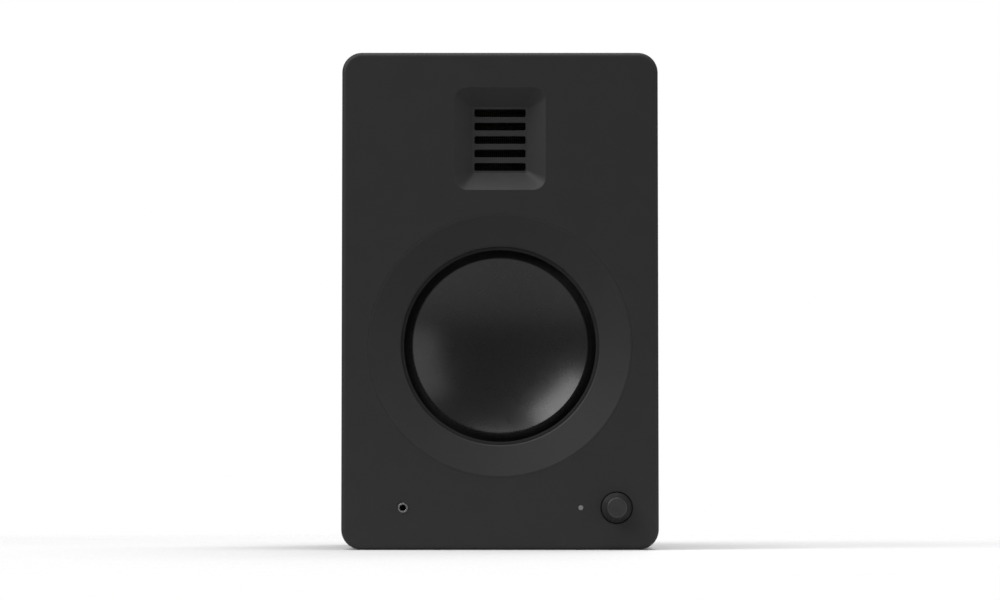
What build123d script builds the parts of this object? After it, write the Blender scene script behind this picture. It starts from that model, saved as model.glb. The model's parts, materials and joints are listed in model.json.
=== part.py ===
from build123d import *
import math
import os

# Compact powered two-way bookshelf speaker, taken apart into the pieces it is assembled from.
# Millimetres. +X is to the right seen from the front, -Y is the front, +Z is up.
# The origin is the centre of the cabinet's underside.

# ---- Cabinet ----
CABINET_W = 175.0
CABINET_H = 275.0
CABINET_D = 220.0
CORNER_R = 11.0
FRONT_EDGE_R = 2.5
REAR_EDGE_R = 1.5
WALL_T = 15.0
INNER_R = 3.0
BAFFLE_T = 20.0
REAR_BOARD_T = 15.0
REAR_INSET = 3.0
SEAM = 0.3
BOARD_FIT = 0.1
BRACE_T = 12.0
BRACE_FRONT_Y = 4.0
BRACE_WINDOW_W = 104.0
BRACE_WINDOW_H = 146.0
BRACE_WINDOW_Z = 105.0
FOAM_T = 12.0
FOAM_BOTTOM_Z = 62.0
FOAM_LENGTH = 58.0
INSERT_R = 4.5
INSERT_LENGTH = 12.0
INSERT_THREAD_R = 2.6
INSERT_Y = 20.0

# ---- Woofer, on an axis square to the baffle ----
WOOFER_Z = 112.5
RING_R = 73.0
RING_SEAT = 8.0
RING_INNER_R = 55.0
FLANGE_R = 67.2
FLANGE_FRONT = 8.5
FLANGE_T = 3.5
GASKET_T = 1.5
BAFFLE_BORE_R = 60.0
WOOFER_SCREWS = 6
SCREW_CIRCLE_R = 63.6
DISH_RIM_R = 48.75
DISH_DEPTH = 14.0
DISH_CENTRE = 20.0
DISH_T = 1.0
ROLL_R = 4.6
ROLL_DEPTH = 9.6
ROLL_CENTRE_R = 49.4
ROLL_SKIN = 0.8
LANDING_R = 58.5
SPIDER_DEPTH = 32.0
SPIDER_T = 0.6
SPIDER_SHELF_R = 40.5
POLE_R = 12.3
FORMER_R = 12.7
FORMER_T = 0.25
FORMER_BACK = 59.0
WINDING_R = 13.65
WINDING_SPAN = (44.0, 58.0)
GAP_R = 14.0
PLATE_FRONT = 48.0
PLATE_T = 6.0
MAGNET_R = 41.5
MAGNET_T = 14.0
YOKE_T = 6.0
VENT_R = 4.0
STRIP_TOP = -43.9
TERMINAL_X = 4.5

# ---- Folded-ribbon tweeter ----
TWEETER_Z = 227.0
HORN_W = 50.6
HORN_H = 57.0
HORN_CORNER_R = 7.0
THROAT_W = 30.5
THROAT_H = 36.6
THROAT_CORNER_R = 1.5
HORN_DEPTH = 8.0
SLOTS = 5
SLOT_PITCH = 7.5
SLOT_H = 4.4
SLOT_W = 28.5
SLOT_CORNER_R = 1.0
TWEETER_PLATE_W = 66.0
TWEETER_PLATE_H = 64.0
TWEETER_PLATE_T = 4.0
TWEETER_STACK_W = 50.0
TWEETER_STACK_H = 62.0
TWEETER_MAGNET_T = 12.0
TWEETER_SCREW_X = 29.0
TWEETER_SCREW_DZ = 26.0
CHAMBER_W = 46.0
CHAMBER_H = 56.0
CHAMBER_DEPTH = 18.0
CHAMBER_WALL = 2.0

# ---- Front controls ----
CONTROLS_Z = 23.0
KNOB_X = 64.2
LIGHT_X = 44.5
JACK_X = -53.5
KNOB_BASE_R = 8.3
KNOB_FACE_R = 5.6
KNOB_STAND_OUT = 8.5
KNOB_WELL_R = 9.0
KNOB_WELL_DEPTH = 2.5
SHAFT_R = 2.5
RUNNING_GAP = 0.06
CONTROL_WEB = 6.0
CONTROL_POCKET_Z = (15.5, 31.5)
LIGHT_R = 1.5
JACK_NOSE_R = 3.5
PLUG_R = 1.8

# ---- Rear panel ----
PORT_Z = 212.0
PORT_R = 20.0
PORT_WALL = 2.0
PORT_LENGTH = 110.0
PORT_FLARE_R = 12.0
PORT_FLANGE_R = 40.0
PORT_FLANGE_T = 2.5
AMP_W = 120.0
AMP_BOTTOM_Z = 20.0
AMP_TOP_Z = 156.0
AMP_PLATE_T = 2.5
AMP_OPENING_W = 104.0
AMP_OPENING_BOTTOM_Z = 28.0
AMP_OPENING_TOP_Z = 150.0
PANEL_SCREW_X = 56.0
PANEL_SCREW_ZS = (26.0, 67.0, 109.0, 150.0)
PANEL_SCREW_FRONT_Y = 95.0
RCA_PLACES = [(38.0, 136.0), (38.0, 118.0), (20.0, 136.0), (20.0, 118.0), (2.0, 136.0)]
RCA_R = 4.15
RCA_LENGTH = 9.0
GROUND_X = 2.0
GROUND_Z = 118.0
OPTICAL_X = -16.0
SOCKET_ROW_Z = 127.0
OPTICAL_OPENING = 6.4
USB_X = -38.0
POST_Z = 78.0
RED_POST_X = 38.0
BLACK_POST_X = 19.0
POST_R = 2.5
BANANA_R = 2.0
BANANA_DEPTH = 11.5
POST_LENGTH = 21.0
CAP_RIBS = 24
MAINS_X = -28.0
MODULE_Z = 52.0
MODULE_FLANGE_T = 2.0
INLET_Z = 44.5
INLET_DEPTH = 15.5
ROCKER_Z = 63.0
ROCKER_TILT = 10.0

# ---- Amplifier inside ----
BOARD_T = 1.6
INPUT_BOARD_Y = 90.4
AMP_BOARD_Y = 66.0
STANDOFF_X = 47.3
STANDOFF_ZS = (33.0, 145.0)
SINK_FINS = 8
SINK_FIN_PITCH = 4.6
DRIVER_WIRE_R = 1.1
LEAD_R = 0.6

# ---- Faces worked out from the dimensions above ----
FRONT_Y = -CABINET_D / 2
REAR_Y = CABINET_D / 2
BAFFLE_BACK_Y = FRONT_Y + BAFFLE_T
BOARD_REAR_Y = REAR_Y - REAR_INSET
BOARD_FRONT_Y = BOARD_REAR_Y - REAR_BOARD_T
PLATE_REAR_Y = BOARD_REAR_Y + AMP_PLATE_T
ROCKER_PIVOT_Y = PLATE_REAR_Y - 3
INNER_W = CABINET_W - 2 * WALL_T
INNER_H = CABINET_H - 2 * WALL_T
MID_Z = CABINET_H / 2
FLANGE_BACK = FLANGE_FRONT + FLANGE_T
FLANGE_SEAT = FLANGE_BACK + GASKET_T
TWEETER_BACK = HORN_DEPTH + TWEETER_PLATE_T + TWEETER_MAGNET_T
CHAMBER_FRONT = TWEETER_BACK + TWEETER_PLATE_T
DISH_SPHERE_R = (DISH_RIM_R**2 + DISH_DEPTH**2) / (2 * DISH_DEPTH)
MAGNET_FRONT = PLATE_FRONT + PLATE_T
YOKE_FRONT = MAGNET_FRONT + MAGNET_T
STRIP_Z = WOOFER_Z + STRIP_TOP
CONTROL_BOARD_FRONT = BAFFLE_T + 0.5
POST_TIP_Y = PLATE_REAR_Y + POST_LENGTH
PANEL_SCREWS = [(x, z) for x in (-PANEL_SCREW_X, PANEL_SCREW_X) for z in PANEL_SCREW_ZS]
TWEETER_SCREWS = [
    (x, TWEETER_Z + dz)
    for x in (-TWEETER_SCREW_X, TWEETER_SCREW_X)
    for dz in (-TWEETER_SCREW_DZ, TWEETER_SCREW_DZ)
]
STANDOFFS = [(x, z) for x in (-STANDOFF_X, STANDOFF_X) for z in STANDOFF_ZS]


def facing_front(y, x=0, z=0):
    """Sketch plane square to Y: sketch X is +X, sketch Y is +Z, and it extrudes to the front."""
    return Plane(origin=(x, y, z), x_dir=(1, 0, 0), z_dir=(0, -1, 0))


def behind(depth):
    """Y of a face that lies this far behind the baffle's front face."""
    return FRONT_Y + depth


def section_plane(x, y, z):
    """Half-section plane of a part turned about Y: (distance to the rear of y, radius)."""
    return Plane(origin=(x, y, z), x_dir=(0, 1, 0), z_dir=(0, 0, -1))


def turned(x, y, z, points):
    """Solid of revolution about the Y direction through x, z, from (distance, radius) points."""
    plane = section_plane(x, y, z)
    with BuildPart() as solid:
        with BuildSketch(plane):
            with BuildLine():
                Polyline(*points, close=True)
            make_face()
        revolve(axis=Axis((x, y, z), (0, 1, 0)))
    return solid.part


def cuboid(x_span, y_span, z_span, mode=Mode.ADD):
    """Box between two limits on each axis, in the part being built."""
    spans = (x_span, y_span, z_span)
    with Locations(tuple(sum(span) / 2 for span in spans)):
        Box(*(span[1] - span[0] for span in spans), mode=mode)


def rod(x, z, y_span, radius, mode=Mode.ADD):
    """Round bar along Y between two limits, in the part being built."""
    with Locations(Location((x, sum(y_span) / 2, z), (90, 0, 0))):
        Cylinder(radius, y_span[1] - y_span[0], mode=mode)


def circle_places(radius, count, start_deg):
    """Points evenly spaced round the woofer's axis, as (x, z)."""
    angles = [math.radians(start_deg + 360 * i / count) for i in range(count)]
    return [(radius * math.cos(a), WOOFER_Z + radius * math.sin(a)) for a in angles]


def dish_depth(radius):
    """Depth of the dish's front face at a radius: a shallow spherical bowl."""
    return DISH_CENTRE - DISH_SPHERE_R + math.sqrt(DISH_SPHERE_R**2 - radius**2)


def bend_radii(points):
    """Largest arc for each corner of a route: 0.45 of its shorter run over tan(half the turn)."""
    places = [Vector(*p) for p in points]
    runs = [b - a for a, b in zip(places, places[1:])]
    radii = []
    for before, after in zip(runs, runs[1:]):
        half_turn = math.radians(before.get_angle(after)) / 2
        radii.append(0.45 * min(before.length, after.length) / math.tan(half_turn))
    return radii


def wire(points, radius):
    """Round wire along a route of straight runs joined by tangent arcs."""
    radii = bend_radii(points)
    with BuildPart() as lead:
        with BuildLine() as route:
            FilletPolyline(*points, radius=radii)
        with BuildSketch(Plane(origin=route.line @ 0, z_dir=route.line % 0)):
            Circle(radius)
        sweep(path=route.line)
    expected = math.pi * radius**2 * sum(edge.length for edge in route.edges())
    print(f"wire: tightest bend {min(radii):.1f}, volume ratio {lead.part.volume / expected:.4f}")
    return lead.part


def slotted_plate(y_span, width, height, corner_r, z):
    """Steel pole plate with the tweeter's row of sound slots."""
    with BuildPart() as plate:
        with BuildSketch(facing_front(y_span[1])):
            with Locations((0, z)):
                RectangleRounded(width, height, corner_r)
                with GridLocations(0, SLOT_PITCH, 1, SLOTS):
                    RectangleRounded(SLOT_W, SLOT_H, SLOT_CORNER_R, mode=Mode.SUBTRACT)
        extrude(amount=y_span[1] - y_span[0])
    return plate.part


def clamp_washer(x, z, y, inner_r, outer_r, thickness):
    """Plain washer that slides on a stud."""
    with BuildPart() as washer:
        rod(x, z, (y, y + thickness), outer_r)
        rod(x, z, (y, y + thickness), inner_r, mode=Mode.SUBTRACT)
    return washer.part


def post_cap(x):
    """Ribbed screw cap of a binding post, open at the tip for a banana plug."""
    cap_front = PLATE_REAR_Y + 7.2
    cap_rear = PLATE_REAR_Y + 21.4
    with BuildPart() as cap:
        with BuildSketch(facing_front(cap_rear)):
            with Locations((x, POST_Z)):
                Circle(6.6)
                with PolarLocations(6.75, CAP_RIBS):
                    Circle(0.45, mode=Mode.SUBTRACT)
        extrude(amount=cap_rear - cap_front - 3)
        rod(x, POST_Z, (cap_front, cap_front + 3), 7.2)
        rod(x, POST_Z, (cap_front, cap_rear), POST_R + 0.08, mode=Mode.SUBTRACT)
    return cap.part


# ======================================================================= cabinet
with BuildPart() as cabinet_shell:
    with BuildSketch(facing_front(REAR_Y)):
        with Locations((0, MID_Z)):
            RectangleRounded(CABINET_W, CABINET_H, CORNER_R)
            RectangleRounded(INNER_W, INNER_H, INNER_R, mode=Mode.SUBTRACT)
    extrude(amount=REAR_Y - BAFFLE_BACK_Y)
    fillet(cabinet_shell.faces().sort_by(Axis.Y)[-1].outer_wire().edges(), REAR_EDGE_R)
    chamfer(cabinet_shell.faces().sort_by(Axis.Y)[0].outer_wire().edges(), SEAM)
    with Locations((0, INSERT_Y, INSERT_LENGTH / 2)):
        Cylinder(INSERT_R, INSERT_LENGTH, mode=Mode.SUBTRACT)

with BuildPart() as stand_insert:
    with Locations((0, INSERT_Y, INSERT_LENGTH / 2)):
        Cylinder(INSERT_R, INSERT_LENGTH)
        Cylinder(INSERT_THREAD_R, INSERT_LENGTH, mode=Mode.SUBTRACT)
    chamfer(stand_insert.edges().filter_by(GeomType.CIRCLE).sort_by(Axis.Z)[0], 0.4)

with BuildPart() as front_baffle:
    with BuildSketch(facing_front(BAFFLE_BACK_Y)):
        with Locations((0, MID_Z)):
            RectangleRounded(CABINET_W, CABINET_H, CORNER_R)
    extrude(amount=BAFFLE_T)
    fillet(front_baffle.faces().sort_by(Axis.Y)[0].edges(), FRONT_EDGE_R)
    chamfer(front_baffle.faces().sort_by(Axis.Y)[-1].edges(), SEAM)
    # Stepped seat for the woofer: trim ring, flange, then the bore.
    for depth, radius in ((RING_SEAT, RING_R), (FLANGE_SEAT, FLANGE_R + 0.3), (BAFFLE_T, BAFFLE_BORE_R)):
        rod(0, WOOFER_Z, (FRONT_Y, behind(depth)), radius, mode=Mode.SUBTRACT)
    for x, z in circle_places(SCREW_CIRCLE_R, WOOFER_SCREWS, 30):
        rod(x, z, (behind(FLANGE_SEAT), BAFFLE_BACK_Y), 1.95, mode=Mode.SUBTRACT)
    # Short rectangular horn of the tweeter, and the pocket for its plate behind.
    with BuildSketch(facing_front(FRONT_Y)):
        with Locations((0, TWEETER_Z)):
            RectangleRounded(HORN_W, HORN_H, HORN_CORNER_R)
    with BuildSketch(facing_front(behind(HORN_DEPTH))):
        with Locations((0, TWEETER_Z)):
            RectangleRounded(THROAT_W, THROAT_H, THROAT_CORNER_R)
    loft(mode=Mode.SUBTRACT)
    with BuildSketch(facing_front(BAFFLE_BACK_Y)):
        with Locations((0, TWEETER_Z)):
            RectangleRounded(TWEETER_PLATE_W + 1, TWEETER_PLATE_H + 1, 4)
    extrude(amount=BAFFLE_T - HORN_DEPTH, mode=Mode.SUBTRACT)
    for x, z in TWEETER_SCREWS:
        rod(x, z, (behind(3.5), behind(HORN_DEPTH)), 1.55, mode=Mode.SUBTRACT)
    # Knob well, control holes and the pockets that leave a thin web behind them.
    rod(KNOB_X, CONTROLS_Z, (FRONT_Y, behind(KNOB_WELL_DEPTH)), KNOB_WELL_R, mode=Mode.SUBTRACT)
    rod(KNOB_X, CONTROLS_Z, (FRONT_Y, behind(CONTROL_WEB)), 3.9, mode=Mode.SUBTRACT)
    rod(LIGHT_X, CONTROLS_Z, (FRONT_Y, behind(CONTROL_WEB)), LIGHT_R + 0.1, mode=Mode.SUBTRACT)
    rod(JACK_X, CONTROLS_Z, (FRONT_Y, behind(CONTROL_WEB)), JACK_NOSE_R + 0.1, mode=Mode.SUBTRACT)
    for x_span in ((LIGHT_X - 4.5, INNER_W / 2), (JACK_X - 8, JACK_X + 8)):
        cuboid(x_span, (behind(CONTROL_WEB), BAFFLE_BACK_Y), CONTROL_POCKET_Z, mode=Mode.SUBTRACT)

with BuildPart() as rear_board:
    with BuildSketch(facing_front(BOARD_REAR_Y)):
        with Locations((0, MID_Z)):
            RectangleRounded(INNER_W - 2 * BOARD_FIT, INNER_H - 2 * BOARD_FIT, INNER_R + 0.5)
        with Locations((0, (AMP_OPENING_BOTTOM_Z + AMP_OPENING_TOP_Z) / 2)):
            opening_h = AMP_OPENING_TOP_Z - AMP_OPENING_BOTTOM_Z
            RectangleRounded(AMP_OPENING_W, opening_h, 4, mode=Mode.SUBTRACT)
    extrude(amount=REAR_BOARD_T)
    flange_floor = BOARD_REAR_Y - PORT_FLANGE_T
    rod(0, PORT_Z, (flange_floor, BOARD_REAR_Y), PORT_FLANGE_R + 0.1, mode=Mode.SUBTRACT)
    rod(0, PORT_Z, (BOARD_FRONT_Y, BOARD_REAR_Y), 35.0, mode=Mode.SUBTRACT)
    for x, z in PANEL_SCREWS:
        rod(x, z, (PANEL_SCREW_FRONT_Y - 1, BOARD_REAR_Y), 1.55, mode=Mode.SUBTRACT)

with BuildPart() as window_brace:
    with BuildSketch(facing_front(BRACE_FRONT_Y + BRACE_T)):
        with Locations((0, MID_Z)):
            RectangleRounded(INNER_W - 2 * BOARD_FIT, INNER_H - 2 * BOARD_FIT, INNER_R + 0.5)
        with Locations((0, BRACE_WINDOW_Z)):
            RectangleRounded(BRACE_WINDOW_W, BRACE_WINDOW_H, 12, mode=Mode.SUBTRACT)
        with Locations((0, PORT_Z)):
            Circle(PORT_R + PORT_WALL + 0.1, mode=Mode.SUBTRACT)
    extrude(amount=BRACE_T)

with BuildPart() as port_tube:
    tube_r = PORT_R + PORT_WALL
    flare_end = PORT_LENGTH - PORT_FLARE_R
    with BuildSketch(section_plane(0, BOARD_REAR_Y - PORT_LENGTH, PORT_Z)):
        with BuildLine():
            l1 = Line((0, PORT_R + 3.5), (4, PORT_R))
            l2 = Line(l1 @ 1, (flare_end, PORT_R))
            l3 = CenterArc((flare_end, PORT_R + PORT_FLARE_R), PORT_FLARE_R, -90, 90)
            l4 = Polyline(
                l3 @ 1,
                (PORT_LENGTH, PORT_FLANGE_R),
                (PORT_LENGTH - PORT_FLANGE_T, PORT_FLANGE_R),
                (PORT_LENGTH - PORT_FLANGE_T, PORT_R + PORT_FLARE_R + PORT_WALL),
            )
            Polyline(l4 @ 1, (flare_end - 2, tube_r), (5, tube_r), (0, tube_r + 3.5), l1 @ 0)
        make_face()
    revolve(axis=Axis((0, 0, PORT_Z), (0, 1, 0)))

foam_top_z = WALL_T + INNER_H - 0.3
hollow_bottom_z = FOAM_BOTTOM_Z - FOAM_T
hollow_top_z = foam_top_z - FOAM_T
with BuildPart() as acoustic_foam:
    # Lining of the upper walls in front of the brace, and the pad inside the tweeter's chamber.
    with BuildSketch(facing_front(0)):
        foam_w = INNER_W - 0.6
        with Locations((0, (FOAM_BOTTOM_Z + foam_top_z) / 2)):
            RectangleRounded(foam_w, foam_top_z - FOAM_BOTTOM_Z, 4)
        with Locations((0, (hollow_bottom_z + hollow_top_z) / 2)):
            RectangleRounded(foam_w - 2 * FOAM_T, hollow_top_z - hollow_bottom_z, 6, mode=Mode.SUBTRACT)
    extrude(amount=FOAM_LENGTH)
    pad_span = (behind(CHAMBER_FRONT + 4), behind(CHAMBER_FRONT + CHAMBER_DEPTH - CHAMBER_WALL - 0.2))
    cuboid((-20, 20), pad_span, (TWEETER_Z - 25, TWEETER_Z + 25))

# ======================================================================= woofer
with BuildPart() as woofer_trim_ring:
    outer = RING_R - 0.1
    add(
        turned(
            0,
            FRONT_Y,
            WOOFER_Z,
            [
                (0.0, outer),
                (0.0, outer - 0.9),
                (5.6, RING_INNER_R + 0.7),
                (6.2, RING_INNER_R),
                (7.0, RING_INNER_R),
                (7.0, RING_INNER_R + 1.4),
                (2.2, outer - 2.0),
                (RING_SEAT, outer - 2.0),
                (RING_SEAT, outer),
            ],
        )
    )

with BuildPart() as woofer_screws:
    for x, z in circle_places(SCREW_CIRCLE_R, WOOFER_SCREWS, 30):
        rod(x, z, (behind(6.3), behind(FLANGE_FRONT)), 3.1)
        rod(x, z, (behind(FLANGE_FRONT), behind(BAFFLE_T - 1)), 1.9)
        rod(x, z, (behind(6.3), behind(7.5)), 1.1, mode=Mode.SUBTRACT)

with BuildPart() as woofer_gasket:
    rod(0, WOOFER_Z, (behind(FLANGE_BACK), behind(FLANGE_SEAT)), FLANGE_R)
    rod(0, WOOFER_Z, (behind(FLANGE_BACK), behind(FLANGE_SEAT)), BAFFLE_BORE_R + 0.6, mode=Mode.SUBTRACT)
    for x, z in circle_places(SCREW_CIRCLE_R, WOOFER_SCREWS, 30):
        rod(x, z, (behind(FLANGE_BACK), behind(FLANGE_SEAT)), 2.2, mode=Mode.SUBTRACT)

with BuildPart() as woofer_basket:
    add(
        turned(
            0,
            FRONT_Y,
            WOOFER_Z,
            [
                (FLANGE_FRONT, 54.5),
                (FLANGE_FRONT, FLANGE_R),
                (FLANGE_BACK, FLANGE_R),
                (FLANGE_BACK, 59.3),
                (36.0, 43.0),
                (PLATE_FRONT, 40.0),
                (PLATE_FRONT, 20.0),
                (PLATE_FRONT - 2.5, 20.0),
                (PLATE_FRONT - 2.5, 37.5),
                (35.5, 40.2),
                (35.5, 36.0),
                (33.5, 36.0),
                (33.5, 41.2),
                (12.5, 56.8),
                (10.5, 54.5),
            ],
        )
    )
    # Six windows between the spokes of the cone, and six vents below the spider's shelf.
    with BuildSketch(facing_front(behind(34), 0, WOOFER_Z)):
        Circle(55.5)
        Circle(44.6, mode=Mode.SUBTRACT)
        with PolarLocations(0, 3, angular_range=180):
            Rectangle(120, 11, mode=Mode.SUBTRACT)
    extrude(amount=20.5, mode=Mode.SUBTRACT)
    for turn in range(30, 360, 60):
        angle = math.radians(turn)
        place = (39 * math.cos(angle), behind(41), WOOFER_Z + 39 * math.sin(angle))
        with Locations(Location(place, (0, -turn, 0))):
            Box(12, 6, 18, mode=Mode.SUBTRACT)
    for x, z in circle_places(SCREW_CIRCLE_R, WOOFER_SCREWS, 30):
        rod(x, z, (behind(FLANGE_FRONT), behind(FLANGE_BACK)), 2.2, mode=Mode.SUBTRACT)

with BuildPart() as woofer_surround:
    # Half roll that dips inwards, from the landing on the flange to the ledge under the dish.
    roll_centre = (ROLL_DEPTH, ROLL_CENTRE_R)
    landing = 7.5
    with BuildSketch(section_plane(0, FRONT_Y, WOOFER_Z)):
        with BuildLine():
            outer_roll = CenterArc(roll_centre, ROLL_R, -90, 180)
            inner_roll = CenterArc(roll_centre, ROLL_R - ROLL_SKIN, -90, 180)
            Polyline(
                outer_roll @ 1,
                (landing + 0.9, ROLL_CENTRE_R + ROLL_R),
                (landing + 0.9, LANDING_R),
                (landing, LANDING_R),
                (landing, ROLL_CENTRE_R + ROLL_R - ROLL_SKIN),
                inner_roll @ 1,
            )
            Line(outer_roll @ 0, inner_roll @ 0)
        make_face()
    revolve(axis=Axis((0, FRONT_Y, WOOFER_Z), (0, 1, 0)))

with BuildPart() as woofer_dish:
    face_r = DISH_RIM_R - 0.5
    with BuildSketch(section_plane(0, FRONT_Y, WOOFER_Z)):
        with BuildLine():
            front = ThreePointArc((DISH_CENTRE, 0), (dish_depth(25), 25), (dish_depth(face_r), face_r))
            rim = ThreePointArc(
                front @ 1,
                (dish_depth(face_r) - 0.3, DISH_RIM_R),
                (dish_depth(face_r) + 0.9, DISH_RIM_R + 0.25),
            )
            back_edge = (dish_depth(face_r - 1) + DISH_T, face_r - 1)
            Line(rim @ 1, back_edge)
            ThreePointArc(back_edge, (dish_depth(25) + DISH_T, 25), (DISH_CENTRE + DISH_T, 0))
            Line((DISH_CENTRE + DISH_T, 0), (DISH_CENTRE, 0))
        make_face()
    revolve(axis=Axis((0, FRONT_Y, WOOFER_Z), (0, 1, 0)))

with BuildPart() as coil_former:
    former_front = dish_depth(FORMER_R) + DISH_T + 0.02
    rod(0, WOOFER_Z, (behind(former_front), behind(FORMER_BACK)), FORMER_R + FORMER_T)
    rod(0, WOOFER_Z, (behind(former_front), behind(FORMER_BACK)), FORMER_R, mode=Mode.SUBTRACT)

with BuildPart() as coil_winding:
    winding_span = tuple(behind(depth) for depth in WINDING_SPAN)
    rod(0, WOOFER_Z, winding_span, WINDING_R)
    rod(0, WOOFER_Z, winding_span, FORMER_R + FORMER_T + 0.02, mode=Mode.SUBTRACT)

with BuildPart() as woofer_spider:
    # Corrugated disc: five waves between the neck and the shelf of the basket.
    waves = 5
    wave_inner_r = 15.0
    wave_pitch = 4.2
    crest = 1.1
    shelf = SPIDER_DEPTH + 0.8
    peaks = [
        (SPIDER_DEPTH + crest * (-1) ** i, wave_inner_r + wave_pitch * (i + 0.5) / 2)
        for i in range(2 * waves)
    ]
    neck = [(SPIDER_DEPTH, 13.2), (SPIDER_DEPTH, wave_inner_r)]
    front_side = [*neck, *peaks, (shelf, 37), (shelf, SPIDER_SHELF_R)]
    back_side = [(depth + SPIDER_T, radius) for depth, radius in reversed(front_side)]
    add(turned(0, FRONT_Y, WOOFER_Z, front_side + back_side))

with BuildPart() as woofer_top_plate:
    rod(0, WOOFER_Z, (behind(PLATE_FRONT), behind(MAGNET_FRONT)), 38)
    rod(0, WOOFER_Z, (behind(PLATE_FRONT), behind(MAGNET_FRONT)), GAP_R, mode=Mode.SUBTRACT)

with BuildPart() as woofer_magnet:
    rod(0, WOOFER_Z, (behind(MAGNET_FRONT), behind(YOKE_FRONT)), MAGNET_R)
    rod(0, WOOFER_Z, (behind(MAGNET_FRONT), behind(YOKE_FRONT)), 18, mode=Mode.SUBTRACT)
    chamfer(woofer_magnet.edges().filter_by(GeomType.CIRCLE), 0.6)

with BuildPart() as woofer_yoke:
    add(
        turned(
            0,
            FRONT_Y,
            WOOFER_Z,
            [
                (PLATE_FRONT - 1, VENT_R),
                (PLATE_FRONT - 1, POLE_R),
                (YOKE_FRONT, POLE_R),
                (YOKE_FRONT, 39),
                (YOKE_FRONT + YOKE_T - 2, 39),
                (YOKE_FRONT + YOKE_T, 36),
                (YOKE_FRONT + YOKE_T, VENT_R),
            ],
        )
    )

with BuildPart() as woofer_terminals:
    cuboid((-8, 8), (behind(35), behind(36.6)), (STRIP_Z - 13, STRIP_Z))
    for x in (-TERMINAL_X, TERMINAL_X):
        rod(x, STRIP_Z - 6, (behind(34.2), behind(35)), 1.6)
        cuboid((x - 1.4, x + 1.4), (behind(36.6), behind(43)), (STRIP_Z - 9.5, STRIP_Z - 8.7))

with BuildPart() as woofer_leads:
    for x in (-TERMINAL_X, TERMINAL_X):
        add(
            wire(
                [
                    (x, behind(34.1), STRIP_Z - 6),
                    (x, behind(28.5), STRIP_Z - 5.4),
                    (x, behind(24.5), STRIP_Z + 2),
                    (x, behind(25.5), STRIP_Z + 12),
                    (x, behind(23.5), STRIP_Z + 19),
                    (x, behind(18.4), STRIP_Z + 20),
                ],
                LEAD_R,
            )
        )

# ======================================================================= tweeter
with BuildPart() as tweeter_front_plate:
    plate_span = (behind(HORN_DEPTH), behind(HORN_DEPTH + TWEETER_PLATE_T))
    add(slotted_plate(plate_span, TWEETER_PLATE_W, TWEETER_PLATE_H, 3, TWEETER_Z))
    for x, z in TWEETER_SCREWS:
        rod(x, z, plate_span, 1.8, mode=Mode.SUBTRACT)

frame_front = HORN_DEPTH + TWEETER_PLATE_T
stack_span = (behind(frame_front), behind(TWEETER_BACK))
with BuildPart() as tweeter_frame:
    cuboid((-17.3, 17.3), stack_span, (TWEETER_Z - 31, TWEETER_Z + 31))
    cuboid((-14.6, 14.6), stack_span, (TWEETER_Z - 18.2, TWEETER_Z + 18.2), mode=Mode.SUBTRACT)

with BuildPart() as tweeter_diaphragm:
    # Foil folded into sharp horizontal pleats, open towards the slots.
    folds = 22
    fold_pitch = 35.2 / folds
    foil = 0.16
    front_depth = frame_front + 0.8
    ridge = [
        (front_depth + 3.6 * (i % 2), TWEETER_Z - 17.6 + fold_pitch * i) for i in range(folds + 1)
    ]
    with BuildSketch(Plane(origin=(14.4, FRONT_Y, 0), x_dir=(0, 1, 0), z_dir=(1, 0, 0))):
        with BuildLine():
            Polyline(*ridge, *[(depth + 4 * foil, z) for depth, z in reversed(ridge)], close=True)
        make_face()
    extrude(amount=-28.8)

with BuildPart() as tweeter_magnets:
    for x_span in ((-25, -17.5), (17.5, 25)):
        cuboid(x_span, stack_span, (TWEETER_Z - 31, TWEETER_Z + 31))

back_plate_span = (behind(TWEETER_BACK), behind(TWEETER_BACK + TWEETER_PLATE_T))
with BuildPart() as tweeter_back_plate:
    add(slotted_plate(back_plate_span, TWEETER_STACK_W, TWEETER_STACK_H, 2, TWEETER_Z))

with BuildPart() as tweeter_chamber:
    with BuildSketch(facing_front(behind(CHAMBER_FRONT + CHAMBER_DEPTH))):
        with Locations((0, TWEETER_Z)):
            RectangleRounded(CHAMBER_W, CHAMBER_H, 5)
    extrude(amount=CHAMBER_DEPTH)
    with BuildSketch(facing_front(behind(CHAMBER_FRONT + CHAMBER_DEPTH - CHAMBER_WALL))):
        with Locations((0, TWEETER_Z)):
            RectangleRounded(CHAMBER_W - 2 * CHAMBER_WALL, CHAMBER_H - 2 * CHAMBER_WALL, 3)
    extrude(amount=CHAMBER_DEPTH - CHAMBER_WALL, mode=Mode.SUBTRACT)
    fillet(tweeter_chamber.faces().sort_by(Axis.Y)[-1].edges(), 2)

with BuildPart() as tweeter_screws:
    for x, z in TWEETER_SCREWS:
        rod(x, z, (behind(frame_front), behind(frame_front + 2.2)), 2.8)
        rod(x, z, (behind(4), behind(frame_front)), 1.5)
        rod(x, z, (behind(frame_front + 1.1), behind(frame_front + 2.2)), 0.9, mode=Mode.SUBTRACT)

# ======================================================================= front controls
with BuildPart() as control_board:
    board_span = (behind(CONTROL_BOARD_FRONT), behind(CONTROL_BOARD_FRONT + BOARD_T))
    cuboid((-64, 71), board_span, (16, 38))

with BuildPart() as encoder_body:
    body_span = (behind(14), behind(CONTROL_BOARD_FRONT))
    cuboid((KNOB_X - 6, KNOB_X + 6), body_span, (CONTROLS_Z - 6, CONTROLS_Z + 6))
    rod(KNOB_X, CONTROLS_Z, (behind(3), behind(14)), 3.5)
    rod(KNOB_X, CONTROLS_Z, (behind(3), behind(14.5)), SHAFT_R + RUNNING_GAP, mode=Mode.SUBTRACT)
    rod(KNOB_X, CONTROLS_Z, (behind(14.5), behind(19)), 3.0, mode=Mode.SUBTRACT)

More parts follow.
